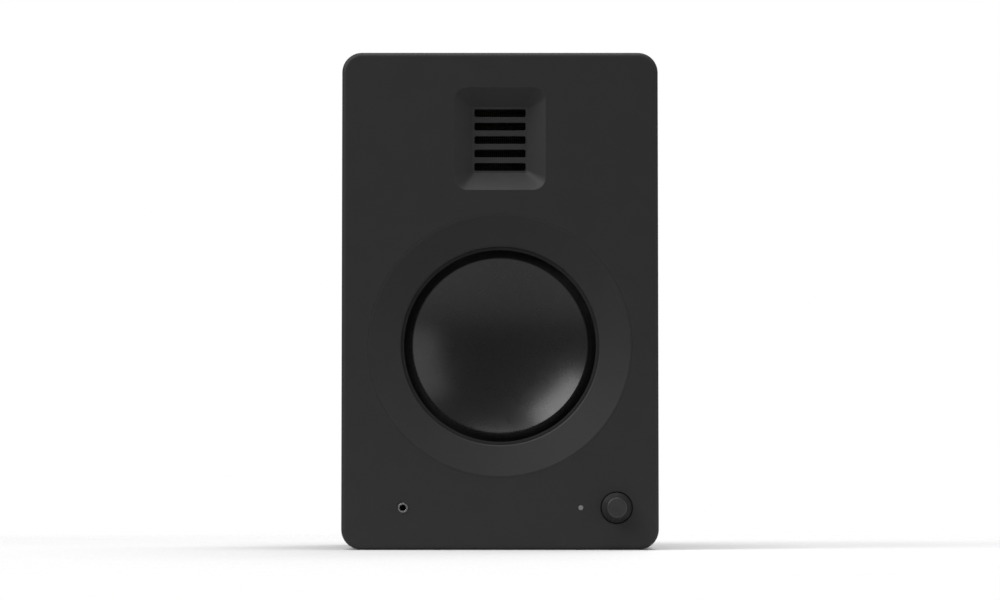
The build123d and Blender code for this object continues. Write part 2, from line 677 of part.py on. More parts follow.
with BuildPart() as encoder_shaft:
    rod(KNOB_X, CONTROLS_Z, (behind(-6), behind(16)), SHAFT_R)
    flat = (KNOB_X + 1.6, KNOB_X + SHAFT_R)
    cuboid(flat, (behind(-6), behind(1)), (CONTROLS_Z - 3, CONTROLS_Z + 3), mode=Mode.SUBTRACT)

with BuildPart() as switch_plunger:
    rod(KNOB_X, CONTROLS_Z, (behind(16), behind(17.4)), 2.7)

with BuildPart() as volume_knob:
    shoulder = 0.8
    with BuildSketch(section_plane(KNOB_X, FRONT_Y, CONTROLS_Z)):
        with BuildLine():
            face = Line((-KNOB_STAND_OUT + 0.35, 0), (-KNOB_STAND_OUT, KNOB_FACE_R - shoulder))
            edge = ThreePointArc(
                face @ 1,
                (-KNOB_STAND_OUT + 0.25, KNOB_FACE_R - 0.25),
                (-KNOB_STAND_OUT + shoulder, KNOB_FACE_R),
            )
            side = ThreePointArc(edge @ 1, (-3.2, KNOB_FACE_R + 1.1), (0.2, KNOB_BASE_R))
            Polyline(
                side @ 1,
                (1.2, KNOB_BASE_R),
                (1.2, SHAFT_R + 0.02),
                (-6.2, SHAFT_R + 0.02),
                (-6.2, 0),
                face @ 0,
            )
        make_face()
    revolve(axis=Axis((KNOB_X, FRONT_Y, CONTROLS_Z), (0, 1, 0)))

with BuildPart() as headphone_jack:
    body_span = (behind(8), behind(CONTROL_BOARD_FRONT))
    cuboid((JACK_X - 6, JACK_X + 6), body_span, (CONTROLS_Z - 6, CONTROLS_Z + 6))
    rod(JACK_X, CONTROLS_Z, (behind(0.2), behind(8)), JACK_NOSE_R)
    rod(JACK_X, CONTROLS_Z, (behind(0.2), behind(16)), PLUG_R, mode=Mode.SUBTRACT)
    rod(JACK_X, CONTROLS_Z, (behind(0.2), behind(1)), 2.7, mode=Mode.SUBTRACT)

with BuildPart() as jack_ring:
    rod(JACK_X, CONTROLS_Z, (behind(-0.2), behind(1)), 2.65)
    rod(JACK_X, CONTROLS_Z, (behind(-0.2), behind(1)), PLUG_R, mode=Mode.SUBTRACT)
    chamfer(jack_ring.edges().filter_by(GeomType.CIRCLE).sort_by(Axis.Y)[0:2], 0.2)

with BuildPart() as status_light:
    rod(LIGHT_X, CONTROLS_Z, (behind(0), behind(CONTROL_BOARD_FRONT - 0.1)), LIGHT_R)
    fillet(status_light.edges().filter_by(GeomType.CIRCLE).sort_by(Axis.Y)[0], 0.6)

# ======================================================================= rear panel
with BuildPart() as amp_plate:
    with BuildSketch(facing_front(PLATE_REAR_Y)):
        with Locations((0, (AMP_BOTTOM_Z + AMP_TOP_Z) / 2)):
            RectangleRounded(AMP_W, AMP_TOP_Z - AMP_BOTTOM_Z, 5)
        with Locations(*PANEL_SCREWS):
            Circle(1.8, mode=Mode.SUBTRACT)
        with Locations(*RCA_PLACES):
            Circle(4.8, mode=Mode.SUBTRACT)
        with Locations((GROUND_X, GROUND_Z)):
            Circle(2.0 + RUNNING_GAP, mode=Mode.SUBTRACT)
        with Locations((OPTICAL_X, SOCKET_ROW_Z)):
            Rectangle(11.2, 11.2, mode=Mode.SUBTRACT)
        with Locations((USB_X, SOCKET_ROW_Z)):
            Rectangle(12.4, 11.2, mode=Mode.SUBTRACT)
        with Locations((RED_POST_X, POST_Z), (BLACK_POST_X, POST_Z)):
            Circle(4.2, mode=Mode.SUBTRACT)
        with Locations((MAINS_X, MODULE_Z)):
            Rectangle(27.4, 35.4, mode=Mode.SUBTRACT)
    extrude(amount=AMP_PLATE_T)
    chamfer(amp_plate.faces().sort_by(Axis.Y)[-1].outer_wire().edges(), 0.4)

with BuildPart() as amp_plate_screws:
    for x, z in PANEL_SCREWS:
        rod(x, z, (PLATE_REAR_Y, PLATE_REAR_Y + 1.9), 3.0)
        rod(x, z, (PANEL_SCREW_FRONT_Y, PLATE_REAR_Y), 1.5)
    fillet(amp_plate_screws.edges().filter_by(GeomType.CIRCLE).group_by(Axis.Y)[-1], 0.9)
    for x, z in PANEL_SCREWS:
        for slot_w, slot_h in ((3.0, 0.6), (0.6, 3.0)):
            with Locations((x, PLATE_REAR_Y + 1.4, z)):
                Box(slot_w, 1.4, slot_h, mode=Mode.SUBTRACT)

with BuildPart() as rca_shells:
    for x, z in RCA_PLACES:
        rod(x, z, (PLATE_REAR_Y + 1.2, PLATE_REAR_Y + RCA_LENGTH), RCA_R)
        rod(x, z, (100, PLATE_REAR_Y + 1.2), 3.9)
        rod(x, z, (100, PLATE_REAR_Y + RCA_LENGTH), 3.4, mode=Mode.SUBTRACT)

with BuildPart() as rca_insulators:
    for x, z in RCA_PLACES:
        rod(x, z, (PLATE_REAR_Y, PLATE_REAR_Y + 1.2), 6.0)
        rod(x, z, (PLATE_REAR_Y, PLATE_REAR_Y + 1.2), 3.95, mode=Mode.SUBTRACT)
        rod(x, z, (100, PLATE_REAR_Y + RCA_LENGTH - 1.4), 3.35)
        rod(x, z, (100, PLATE_REAR_Y + RCA_LENGTH), 1.7, mode=Mode.SUBTRACT)

with BuildPart() as optical_socket:
    half = OPTICAL_OPENING / 2
    z_span = (SOCKET_ROW_Z - 5.5, SOCKET_ROW_Z + 5.5)
    cuboid((OPTICAL_X - 5.5, OPTICAL_X + 5.5), (92, PLATE_REAR_Y), z_span)
    cuboid(
        (OPTICAL_X - 7, OPTICAL_X + 7),
        (PLATE_REAR_Y, PLATE_REAR_Y + 1.5),
        (SOCKET_ROW_Z - 7, SOCKET_ROW_Z + 7),
    )
    fillet(optical_socket.faces().sort_by(Axis.Y)[-1].edges(), 0.5)
    cuboid(
        (OPTICAL_X - half, OPTICAL_X + half),
        (PLATE_REAR_Y - 1.5, PLATE_REAR_Y + 1.5),
        (SOCKET_ROW_Z - half, SOCKET_ROW_Z + half),
        mode=Mode.SUBTRACT,
    )
    cuboid(
        (OPTICAL_X - half, OPTICAL_X + half),
        (98, PLATE_REAR_Y - 0.4),
        (SOCKET_ROW_Z - half, SOCKET_ROW_Z + half + 1.3),
        mode=Mode.SUBTRACT,
    )

SHUTTER_PIVOT_Y = PLATE_REAR_Y - 1.1
SHUTTER_PIVOT_Z = SOCKET_ROW_Z + OPTICAL_OPENING / 2 + 0.5
with BuildPart() as optical_shutter:
    # Sprung flap, hung from a pin along X behind the top edge of the opening.
    cuboid(
        (OPTICAL_X - 2.9, OPTICAL_X + 2.9),
        (SHUTTER_PIVOT_Y - 0.35, SHUTTER_PIVOT_Y + 0.35),
        (SOCKET_ROW_Z - 2.9, SHUTTER_PIVOT_Z),
    )
    with Locations(Location((OPTICAL_X, SHUTTER_PIVOT_Y, SHUTTER_PIVOT_Z), (0, 90, 0))):
        Cylinder(0.55, 5.8)

with BuildPart() as usb_socket:
    x_span = (USB_X - 6, USB_X + 6)
    z_span = (SOCKET_ROW_Z - 5.4, SOCKET_ROW_Z + 5.4)
    cuboid(x_span, (92, PLATE_REAR_Y + 0.6), z_span)
    with BuildSketch(facing_front(PLATE_REAR_Y + 0.6)):
        with Locations((USB_X, SOCKET_ROW_Z)):
            Rectangle(8.5, 7.8)
            with Locations((-4.25, 3.9), (4.25, 3.9)):
                Rectangle(2.4, 2.4, rotation=45, mode=Mode.SUBTRACT)
            Rectangle(5.6, 3.2, mode=Mode.SUBTRACT)
    extrude(amount=11, mode=Mode.SUBTRACT)

with BuildPart() as post_base:
    with BuildSketch(facing_front(PLATE_REAR_Y + 6)):
        with Locations(((RED_POST_X + BLACK_POST_X) / 2, POST_Z)):
            RectangleRounded(36, 17, 8.4)
    extrude(amount=6)
    fillet(post_base.faces().sort_by(Axis.Y)[-1].edges(), 1)
    for x in (RED_POST_X, BLACK_POST_X):
        rod(x, POST_Z, (103, PLATE_REAR_Y), 4.1)
        rod(x, POST_Z, (103, PLATE_REAR_Y + 6), POST_R + 0.02, mode=Mode.SUBTRACT)

with BuildPart() as binding_posts:
    for x in (RED_POST_X, BLACK_POST_X):
        rod(x, POST_Z, (94, POST_TIP_Y), POST_R)
        rod(x, POST_Z, (POST_TIP_Y - BANANA_DEPTH, POST_TIP_Y), BANANA_R, mode=Mode.SUBTRACT)
        with Locations(Location((x, PLATE_REAR_Y + 7.6, POST_Z), (0, 90, 0))):
            Cylinder(1.1, 2 * POST_R, mode=Mode.SUBTRACT)
        rod(x, POST_Z, (98, 101.2), 4.6)

with BuildPart() as red_washer:
    add(clamp_washer(RED_POST_X, POST_Z, PLATE_REAR_Y + 6, POST_R + 0.1, 5.6, 1.2))

with BuildPart() as black_washer:
    add(clamp_washer(BLACK_POST_X, POST_Z, PLATE_REAR_Y + 6, POST_R + 0.1, 5.6, 1.2))

with BuildPart() as red_post_cap:
    add(post_cap(RED_POST_X))

with BuildPart() as black_post_cap:
    add(post_cap(BLACK_POST_X))

with BuildPart() as ground_washer:
    add(clamp_washer(GROUND_X, GROUND_Z, PLATE_REAR_Y, 2.1, 4.6, 0.8))

with BuildPart() as ground_screw:
    head_front = PLATE_REAR_Y + 0.8
    with BuildSketch(facing_front(head_front + 6)):
        with Locations((GROUND_X, GROUND_Z)):
            Circle(4.4)
            with PolarLocations(4.5, 18):
                Circle(0.35, mode=Mode.SUBTRACT)
    extrude(amount=5)
    rod(GROUND_X, GROUND_Z, (head_front, head_front + 1), 3.4)
    rod(GROUND_X, GROUND_Z, (96, head_front), 2.0)
    with Locations((GROUND_X, head_front + 5.6, GROUND_Z)):
        Box(6.4, 0.8, 0.9, mode=Mode.SUBTRACT)

with BuildPart() as mains_module:
    # One moulding holds the three-pin inlet below and the rocker switch above.
    with BuildSketch(facing_front(PLATE_REAR_Y + MODULE_FLANGE_T)):
        with Locations((MAINS_X, MODULE_Z)):
            RectangleRounded(31, 40, 2)
    extrude(amount=MODULE_FLANGE_T)
    fillet(mains_module.faces().sort_by(Axis.Y)[-1].edges(), 0.6)
    cuboid((MAINS_X - 13.5, MAINS_X + 13.5), (91, PLATE_REAR_Y), (INLET_Z - 9.9, INLET_Z + 9.9))
    cuboid((MAINS_X - 9.4, MAINS_X + 9.4), (96, PLATE_REAR_Y), (ROCKER_Z - 6.4, ROCKER_Z + 6.4))
    with BuildSketch(facing_front(PLATE_REAR_Y + MODULE_FLANGE_T, MAINS_X, INLET_Z)):
        with BuildLine():
            Polyline(
                (-12.1, -8.4),
                (12.1, -8.4),
                (12.1, 3.4),
                (7.1, 8.4),
                (-7.1, 8.4),
                (-12.1, 3.4),
                close=True,
            )
        make_face()
    extrude(amount=INLET_DEPTH, mode=Mode.SUBTRACT)
    rocker_room = (ROCKER_PIVOT_Y - 6.5, PLATE_REAR_Y + MODULE_FLANGE_T)
    cuboid(
        (MAINS_X - 8.2, MAINS_X + 8.2), rocker_room, (ROCKER_Z - 5.2, ROCKER_Z + 5.2), mode=Mode.SUBTRACT
    )
    with Locations((MAINS_X, ROCKER_PIVOT_Y, ROCKER_Z)):
        Cylinder(0.87, 12.4, mode=Mode.SUBTRACT)

with BuildPart() as inlet_pins:
    pin_root = PLATE_REAR_Y + MODULE_FLANGE_T - INLET_DEPTH
    for x, z in ((-7, -2), (7, -2), (0, 2)):
        cuboid(
            (MAINS_X + x - 1, MAINS_X + x + 1),
            (pin_root, pin_root + 13),
            (INLET_Z + z - 2, INLET_Z + z + 2),
        )

with BuildPart() as power_rocker:
    # Paddle with a shallow valley and round ends about its pivot, resting tilted to one side.
    tilt = math.radians(ROCKER_TILT)
    end_r = 7.9
    face_y = 5.2
    back_y = -2.0
    face_half = math.sqrt(end_r**2 - face_y**2)
    back_half = math.sqrt(end_r**2 - back_y**2)
    paddle_plane = Plane(
        origin=(MAINS_X, ROCKER_PIVOT_Y, ROCKER_Z - 4.9),
        x_dir=(-math.sin(tilt), math.cos(tilt), 0),
        z_dir=(0, 0, 1),
    )
    with BuildSketch(paddle_plane):
        with BuildLine():
            Polyline((face_y, face_half), (face_y - 1.0, 0), (face_y, -face_half))
            ThreePointArc((face_y, -face_half), (0, -end_r), (back_y, -back_half))
            Line((back_y, -back_half), (back_y, back_half))
            ThreePointArc((back_y, back_half), (0, end_r), (face_y, face_half))
        make_face()
    extrude(amount=9.8)
    with Locations((MAINS_X, ROCKER_PIVOT_Y, ROCKER_Z)):
        Cylinder(0.8, 12.0)

# ======================================================================= amplifier
with BuildPart() as amp_boards:
    # The small board carries the input sockets, and the large one the power stages.
    cuboid((-44.6, 44.6), (INPUT_BOARD_Y, INPUT_BOARD_Y + BOARD_T), (112, 146))
    cuboid((-50, 50), (AMP_BOARD_Y, AMP_BOARD_Y + BOARD_T), (30, 148))
    for x, z in STANDOFFS:
        rod(x, z, (AMP_BOARD_Y, AMP_BOARD_Y + BOARD_T), 1.6, mode=Mode.SUBTRACT)

with BuildPart() as board_standoffs:
    for x, z in STANDOFFS:
        rod(x, z, (AMP_BOARD_Y + BOARD_T, BOARD_REAR_Y), 2.4)
        rod(x, z, (AMP_BOARD_Y - 2, AMP_BOARD_Y + BOARD_T), 1.5)
        rod(x, z, (AMP_BOARD_Y - 2, AMP_BOARD_Y), 2.6)

with BuildPart() as heat_sink:
    cuboid((12, 46), (AMP_BOARD_Y - 4, AMP_BOARD_Y), (92, 140))
    for i in range(SINK_FINS):
        x = 12.9 + i * SINK_FIN_PITCH
        cuboid((x - 0.9, x + 0.9), (AMP_BOARD_Y - 26, AMP_BOARD_Y - 4), (92, 140))

with BuildPart() as power_transformer:
    cuboid((-42, -8), (AMP_BOARD_Y - 24, AMP_BOARD_Y), (44, 76))
    fillet(power_transformer.edges().filter_by(Axis.Y), 2)

with BuildPart() as filter_capacitors:
    for x, z in ((18, 46), (39, 46), (18, 68)):
        rod(x, z, (AMP_BOARD_Y - 28, AMP_BOARD_Y), 9)
    fillet(filter_capacitors.edges().filter_by(GeomType.CIRCLE).group_by(Axis.Y)[0], 1)

# ======================================================================= internal wiring
with BuildPart() as internal_wiring:
    # Two pairs of driver wires, and the flat cable from the amplifier to the front controls.
    for x in (-TERMINAL_X, TERMINAL_X):
        add(
            wire(
                [
                    (x - 24, AMP_BOARD_Y - 0.3, 96),
                    (x - 24, 48, 95),
                    (x - 20, 16, 76),
                    (x - 10, -18, 58),
                    (x - 1.5, -50, 54),
                    (x, behind(43.2), STRIP_Z - 9.1),
                ],
                DRIVER_WIRE_R,
            )
        )
    for x in (-6, 6):
        add(
            wire(
                [
                    (x - 14, AMP_BOARD_Y - 0.3, 128),
                    (x - 14, 46, 129),
                    (x - 12, 14, 148),
                    (x - 8, -14, 172),
                    (x - 1, -36, 205),
                    (x, behind(CHAMBER_FRONT + 25.1), 223),
                ],
                DRIVER_WIRE_R,
            )
        )

    with BuildSketch(Plane(origin=(-6, 0, 0), x_dir=(0, 1, 0), z_dir=(1, 0, 0))):
        with BuildLine():
            flat_route = [
                (behind(CONTROL_BOARD_FRONT + 1.7), 27),
                (-74, 30),
                (-52, 42),
                (-20, 46),
                (14, 43),
                (44, 50),
                (AMP_BOARD_Y - 0.5, 51),
            ]
            FilletPolyline(*flat_route, radius=bend_radii(flat_route))
        trace(line_width=0.8)
    extrude(amount=12)

PIECES = {
    "cabinet_shell": cabinet_shell,
    "front_baffle": front_baffle,
    "rear_board": rear_board,
    "window_brace": window_brace,
    "acoustic_foam": acoustic_foam,
    "port_tube": port_tube,
    "stand_insert": stand_insert,
    "woofer_trim_ring": woofer_trim_ring,
    "woofer_screws": woofer_screws,
    "woofer_gasket": woofer_gasket,
    "woofer_basket": woofer_basket,
    "woofer_surround": woofer_surround,
    "woofer_dish": woofer_dish,
    "coil_former": coil_former,
    "coil_winding": coil_winding,
    "woofer_spider": woofer_spider,
    "woofer_top_plate": woofer_top_plate,
    "woofer_magnet": woofer_magnet,
    "woofer_yoke": woofer_yoke,
    "woofer_terminals": woofer_terminals,
    "woofer_leads": woofer_leads,
    "tweeter_front_plate": tweeter_front_plate,
    "tweeter_frame": tweeter_frame,
    "tweeter_diaphragm": tweeter_diaphragm,
    "tweeter_magnets": tweeter_magnets,
    "tweeter_back_plate": tweeter_back_plate,
    "tweeter_chamber": tweeter_chamber,
    "tweeter_screws": tweeter_screws,
    "control_board": control_board,
    "encoder_body": encoder_body,
    "encoder_shaft": encoder_shaft,
    "switch_plunger": switch_plunger,
    "volume_knob": volume_knob,
    "headphone_jack": headphone_jack,
    "jack_ring": jack_ring,
    "status_light": status_light,
    "amp_plate": amp_plate,
    "amp_plate_screws": amp_plate_screws,
    "rca_shells": rca_shells,
    "rca_insulators": rca_insulators,
    "optical_socket": optical_socket,
    "optical_shutter": optical_shutter,
    "usb_socket": usb_socket,
    "post_base": post_base,
    "binding_posts": binding_posts,
    "red_washer": red_washer,
    "black_washer": black_washer,
    "red_post_cap": red_post_cap,
    "black_post_cap": black_post_cap,
    "ground_washer": ground_washer,
    "ground_screw": ground_screw,
    "mains_module": mains_module,
    "inlet_pins": inlet_pins,
    "power_rocker": power_rocker,
    "amp_boards": amp_boards,
    "board_standoffs": board_standoffs,
    "heat_sink": heat_sink,
    "power_transformer": power_transformer,
    "filter_capacitors": filter_capacitors,
    "internal_wiring": internal_wiring,
}

os.makedirs("parts", exist_ok=True)
for name, piece in PIECES.items():
    piece.part.label = name
    export_step(piece.part, f"parts/{name}.step")
print(len(PIECES), "pieces")
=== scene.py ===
"""Looks of a powered two-way bookshelf speaker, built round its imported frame.

Metres. +Z is up, -Y is the front with the drivers, +X is to the right seen from the front.
"""

import json
import math

import bmesh
import bpy
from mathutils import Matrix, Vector
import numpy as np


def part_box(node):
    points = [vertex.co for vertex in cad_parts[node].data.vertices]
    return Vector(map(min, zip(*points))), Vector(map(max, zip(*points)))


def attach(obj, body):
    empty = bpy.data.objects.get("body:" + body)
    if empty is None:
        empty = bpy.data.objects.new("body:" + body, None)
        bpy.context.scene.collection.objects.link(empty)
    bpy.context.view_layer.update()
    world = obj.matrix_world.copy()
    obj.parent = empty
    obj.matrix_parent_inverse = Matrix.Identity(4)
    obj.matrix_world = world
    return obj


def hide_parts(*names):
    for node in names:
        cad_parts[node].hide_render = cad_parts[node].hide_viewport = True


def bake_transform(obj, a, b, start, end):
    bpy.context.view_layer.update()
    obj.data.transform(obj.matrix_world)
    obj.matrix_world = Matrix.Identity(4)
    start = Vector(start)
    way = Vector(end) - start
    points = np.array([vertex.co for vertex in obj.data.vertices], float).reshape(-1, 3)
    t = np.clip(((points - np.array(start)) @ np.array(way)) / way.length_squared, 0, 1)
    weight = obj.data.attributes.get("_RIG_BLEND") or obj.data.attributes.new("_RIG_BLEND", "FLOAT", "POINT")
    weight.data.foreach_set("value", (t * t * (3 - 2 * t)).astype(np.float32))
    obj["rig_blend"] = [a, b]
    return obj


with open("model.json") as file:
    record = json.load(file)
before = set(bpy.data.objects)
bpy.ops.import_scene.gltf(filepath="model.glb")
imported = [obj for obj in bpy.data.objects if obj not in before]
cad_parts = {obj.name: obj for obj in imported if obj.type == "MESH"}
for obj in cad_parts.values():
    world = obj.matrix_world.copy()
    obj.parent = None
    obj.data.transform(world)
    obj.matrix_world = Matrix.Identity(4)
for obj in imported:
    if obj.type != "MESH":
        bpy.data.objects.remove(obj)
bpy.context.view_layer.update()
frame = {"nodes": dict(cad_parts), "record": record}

MM = 0.001
BODY_BLACK = (0.0225, 0.0225, 0.023)

front_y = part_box("front_baffle")[0].y
body_low, body_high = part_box("cabinet_shell")
baffle_centre = Vector((0, front_y, (body_low.z + body_high.z) / 2))
dish_low, dish_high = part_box("woofer_dish")
woofer_z = (dish_low.z + dish_high.z) / 2
knob_low, knob_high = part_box("volume_knob")
knob_x = (knob_low.x + knob_high.x) / 2
knob_z = (knob_low.z + knob_high.z) / 2


def behind(depth):
    """Y of a depth in millimetres behind the front face."""
    return front_y + depth * MM


# Camera, lights and surroundings


def make_camera():
    """Long lens, level with the lower part of the box, looking at the middle of its front."""
    distance, height = 1.96, 0.03
    data = bpy.data.cameras.new("camera")
    data.lens = 128
    data.sensor_width = 36
    camera = bpy.data.objects.new("camera", data)
    camera.location = (0, front_y - distance, height)
    camera.rotation_mode = "QUATERNION"
    camera.rotation_quaternion = (baffle_centre - camera.location).to_track_quat("-Z", "Y")
    bpy.context.scene.collection.objects.link(camera)
    bpy.context.scene.camera = camera


def soft_light(name, direction, distance, side, strength, turn=0.0):
    """Square softbox. Strength is how bright it makes a white surface that faces it."""
    data = bpy.data.lights.new(name, "AREA")
    data.shape = "SQUARE"
    data.size = side
    data.energy = strength * math.pi**2 * distance**2
    light = bpy.data.objects.new(name, data)
    towards = Vector(direction).normalized()
    light.location = baffle_centre + towards * distance
    light.rotation_euler = towards.to_track_quat("Z", "Y").to_euler()
    light.rotation_euler.rotate_axis("Z", math.radians(turn))
    light.visible_camera = False
    bpy.context.scene.collection.objects.link(light)


def make_lights():
    """Four softboxes. The key's turn sets the slant of its reflection in the dish."""
    soft_light("key", (-0.66, -0.38, 0.65), distance=1.6, side=1.05, strength=0.82, turn=68)
    soft_light("top", (0, -0.1, 0.99), distance=1.7, side=1.0, strength=0.62)
    soft_light("right", (0.88, -0.44, 0.22), distance=1.8, side=1.4, strength=0.24)
    soft_light("rear", (0.3, 0.8, 0.5), distance=1.9, side=1.4, strength=0.6)


def make_world():
    """White where the camera sees it, and a dim even fill for everything else."""
    white = (1, 1, 1, 1)
    world = bpy.data.worlds.new("studio")
    world.use_nodes = True
    tree = world.node_tree
    seen = tree.nodes["Background"]
    seen.inputs["Color"].default_value = white
    seen.inputs["Strength"].default_value = 1.0
    fill = tree.nodes.new("ShaderNodeBackground")
    fill.inputs["Color"].default_value = white
    fill.inputs["Strength"].default_value = 0.19
    path = tree.nodes.new("ShaderNodeLightPath")
    mix = tree.nodes.new("ShaderNodeMixShader")
    tree.links.new(path.outputs["Is Camera Ray"], mix.inputs[0])
    tree.links.new(fill.outputs[0], mix.inputs[1])
    tree.links.new(seen.outputs[0], mix.inputs[2])
    tree.links.new(mix.outputs[0], tree.nodes["World Output"].inputs["Surface"])
    bpy.context.scene.world = world
    bpy.context.scene.view_settings.view_transform = "Standard"


def make_floor():
    """Pale disc that fades away before its rim."""
    disc_r, fade_from, fade_to = 1.5, 0.15, 0.75
    clearance = 0.2 * MM
    mesh = bpy.data.meshes.new("floor")
    shape = bmesh.new()
    bmesh.ops.create_circle(shape, cap_ends=True, segments=128, radius=disc_r)
    shape.to_mesh(mesh)
    shape.free()
    floor = bpy.data.objects.new("floor", mesh)
    floor.location.z = body_low.z - clearance
    bpy.context.scene.collection.objects.link(floor)
    look = Finish("floor", (0.72, 0.72, 0.72), 0.7, specular=0.2)
    look.vary(0.3, 0.01)
    reach = look.node("VectorMath", {0: look.place}, operation="LENGTH").outputs["Value"]
    clear = look.node("BsdfTransparent").outputs[0]
    fade = look.spread(reach, fade_from, fade_to)
    mix = look.node("MixShader", {0: fade, 1: look.shader.outputs[0], 2: clear})
    look.tree.links.new(mix.outputs[0], look.tree.nodes["Material Output"].inputs["Surface"])
    mesh.materials.append(look.done())


# Materials


class Finish:
    """A procedural material. Its textures read object coordinates, which are metres in the frame."""

    def __init__(self, name, colour, roughness, metallic=0.0, specular=0.5):
        self.material = bpy.data.materials.new(name)
        self.material.use_nodes = True
        self.tree = self.material.node_tree
        self.shader = self.tree.nodes["Principled BSDF"]
        self.shader.inputs["Metallic"].default_value = metallic
        self.shader.inputs["Specular IOR Level"].default_value = specular
        self.place = self.node("TexCoord").outputs["Object"]
        self.colour = colour
        self.roughness = roughness
        self.normal = None

    def feed(self, socket, value):
        """Links a value that varies, or sets one that is the same all over."""
        if isinstance(value, bpy.types.NodeSocket):
            self.tree.links.new(value, socket)
        elif socket.type == "RGBA":
            socket.default_value = (*value, 1)
        else:
            socket.default_value = value

    def node(self, kind, inputs=None, **settings):
        made = self.tree.nodes.new("ShaderNode" + kind)
        for key, value in settings.items():
            setattr(made, key, value)
        for key, value in (inputs or {}).items():
            self.feed(made.inputs[key], value)
        return made

    def maths(self, operation, *values):
        return self.node("Math", dict(enumerate(values)), operation=operation).outputs[0]

    def spread(self, value, low, high, to_low=0.0, to_high=1.0):
        """Runs from to_low where the value is low to to_high where it is high, and stays within them."""
        ends = {"Value": value, "From Min": low, "From Max": high, "To Min": to_low, "To Max": to_high}
        return self.node("MapRange", ends).outputs["Result"]

    def noise(self, size, detail=3.0, squeeze=(1, 1, 1)):
        """Cloudy noise with lumps of a size, squeezed by factors along X, Y and Z."""
        place = self.node("Mapping", {"Vector": self.place, "Scale": squeeze}).outputs[0]
        return self.node("TexNoise", {"Vector": place, "Scale": 1 / size, "Detail": detail}).outputs["Fac"]

    def cells(self, size, feature="F1", randomness=1.0):
        """Distance to the middle, or to the wall, of cells of a size."""
        inputs = {"Vector": self.place, "Scale": 1 / size, "Randomness": randomness}
        return self.node("TexVoronoi", inputs, feature=feature).outputs["Distance"]

    def axis(self, name):
        return self.node("SeparateXYZ", {0: self.place}).outputs[name]

    def radius_about(self, x, z):
        """Distance from the line along Y through x and z."""
        flat = self.node("VectorMath", {0: self.place, 1: (1, 0, 1)}, operation="MULTIPLY").outputs["Vector"]
        return self.node("VectorMath", {0: flat, 1: (x, 0, z)}, operation="DISTANCE").outputs["Value"]

    def waves(self, value, pitch):
        """Rounded ridges, from 0 to 1, one in each pitch of the value."""
        turns = self.maths("MULTIPLY", value, 2 * math.pi / pitch)
        return self.maths("MULTIPLY_ADD", self.maths("SINE", turns), 0.5, 0.5)

    def edges(self, radius):
        """1 on edges sharper than a radius and 0 on faces."""
        rounded = self.node("Bevel", {"Radius": radius}, samples=4).outputs["Normal"]
        flat = self.node("NewGeometry").outputs["Normal"]
        match = self.node("VectorMath", {0: rounded, 1: flat}, operation="DOT_PRODUCT").outputs["Value"]
        return self.spread(match, 0.985, 0.8)

    def shade(self, factor):
        """Multiplies the colour by a factor that varies over the surface."""
        self.colour = self.node("VectorMath", {0: self.colour, "Scale": factor}, operation="SCALE").outputs[0]

    def tint(self, factor, colour):
        """Mixes in another colour."""
        inputs = {0: factor, 6: self.colour, 7: colour}
        self.colour = self.node("Mix", inputs, data_type="RGBA").outputs[2]

    def vary(self, size, amount):
        """Lightens and darkens the colour in soft patches."""
        self.shade(self.spread(self.noise(size), 0.3, 0.7, 1 - amount, 1 + amount))

    def smudge(self, size, amount):
        """Makes the gloss uneven."""
        low, high = self.roughness - amount, self.roughness + amount
        self.roughness = self.spread(self.noise(size, detail=5), 0.32, 0.68, low, high)

    def bump(self, height, distance):
        """Raises the surface by up to a distance where the height is 1."""
        inputs = {"Height": height, "Distance": distance, "Strength": 1.0}
        if self.normal:
            inputs["Normal"] = self.normal
        self.normal = self.node("Bump", inputs).outputs["Normal"]

    def scratches(self, size, distance, squeeze=(1, 14, 1)):
        """Fine lines that run across the squeezed axis."""
        self.bump(self.noise(size, detail=2, squeeze=squeeze), distance)

    def worn(self, radius, amount, colour):
        """Shows another colour along edges, broken up as rubbed edges are."""
        broken = self.spread(self.noise(4 * MM, detail=4), 0.35, 0.7)
        self.tint(self.maths("MULTIPLY", self.maths("MULTIPLY", self.edges(radius), broken), amount), colour)

    def done(self):
        self.feed(self.shader.inputs["Base Color"], self.colour)
        self.feed(self.shader.inputs["Roughness"], self.roughness)
        if self.normal:
            self.feed(self.shader.inputs["Normal"], self.normal)
        return self.material


def coated(name, colour, roughness, grain, patch, cloud=0.06, metallic=0.0, specular=0.5, wear=None):
    """A painted, moulded or plated surface. Grain is (size, height) and patch a size, in millimetres."""
    size, height = grain
    look = Finish(name, colour, roughness, metallic, specular)
    look.vary(size * MM, cloud * 1.5)
    look.vary(patch * MM, cloud)
    look.smudge(patch * 0.5 * MM, cloud * 0.8)
    look.bump(look.noise(size * MM, detail=2), height * MM)
    look.bump(look.noise(patch * 0.6 * MM, detail=1), height * MM)
    if wear:
        look.worn(0.5 * MM, 0.6, wear)
    return look


def cabinet_lacquer(name):
    """Sprayed satin black over sanded board: fine pebble, faint orange peel and dust."""
    look = coated(name, BODY_BLACK, 0.55, specular=0.25, grain=(0.4, 0.02), patch=18, cloud=0.03)
    look.bump(look.noise(1.6 * MM, detail=1), 0.006 * MM)
    look.worn(0.8 * MM, 0.35, (0.045, 0.045, 0.046))
    dust = look.spread(look.cells(2.2 * MM), 0.10, 0.05)
    sparse = look.spread(look.noise(9 * MM), 0.55, 0.7)
    look.tint(look.maths("MULTIPLY", look.maths("MULTIPLY", dust, sparse), 0.12), (0.2, 0.19, 0.18))
    return look


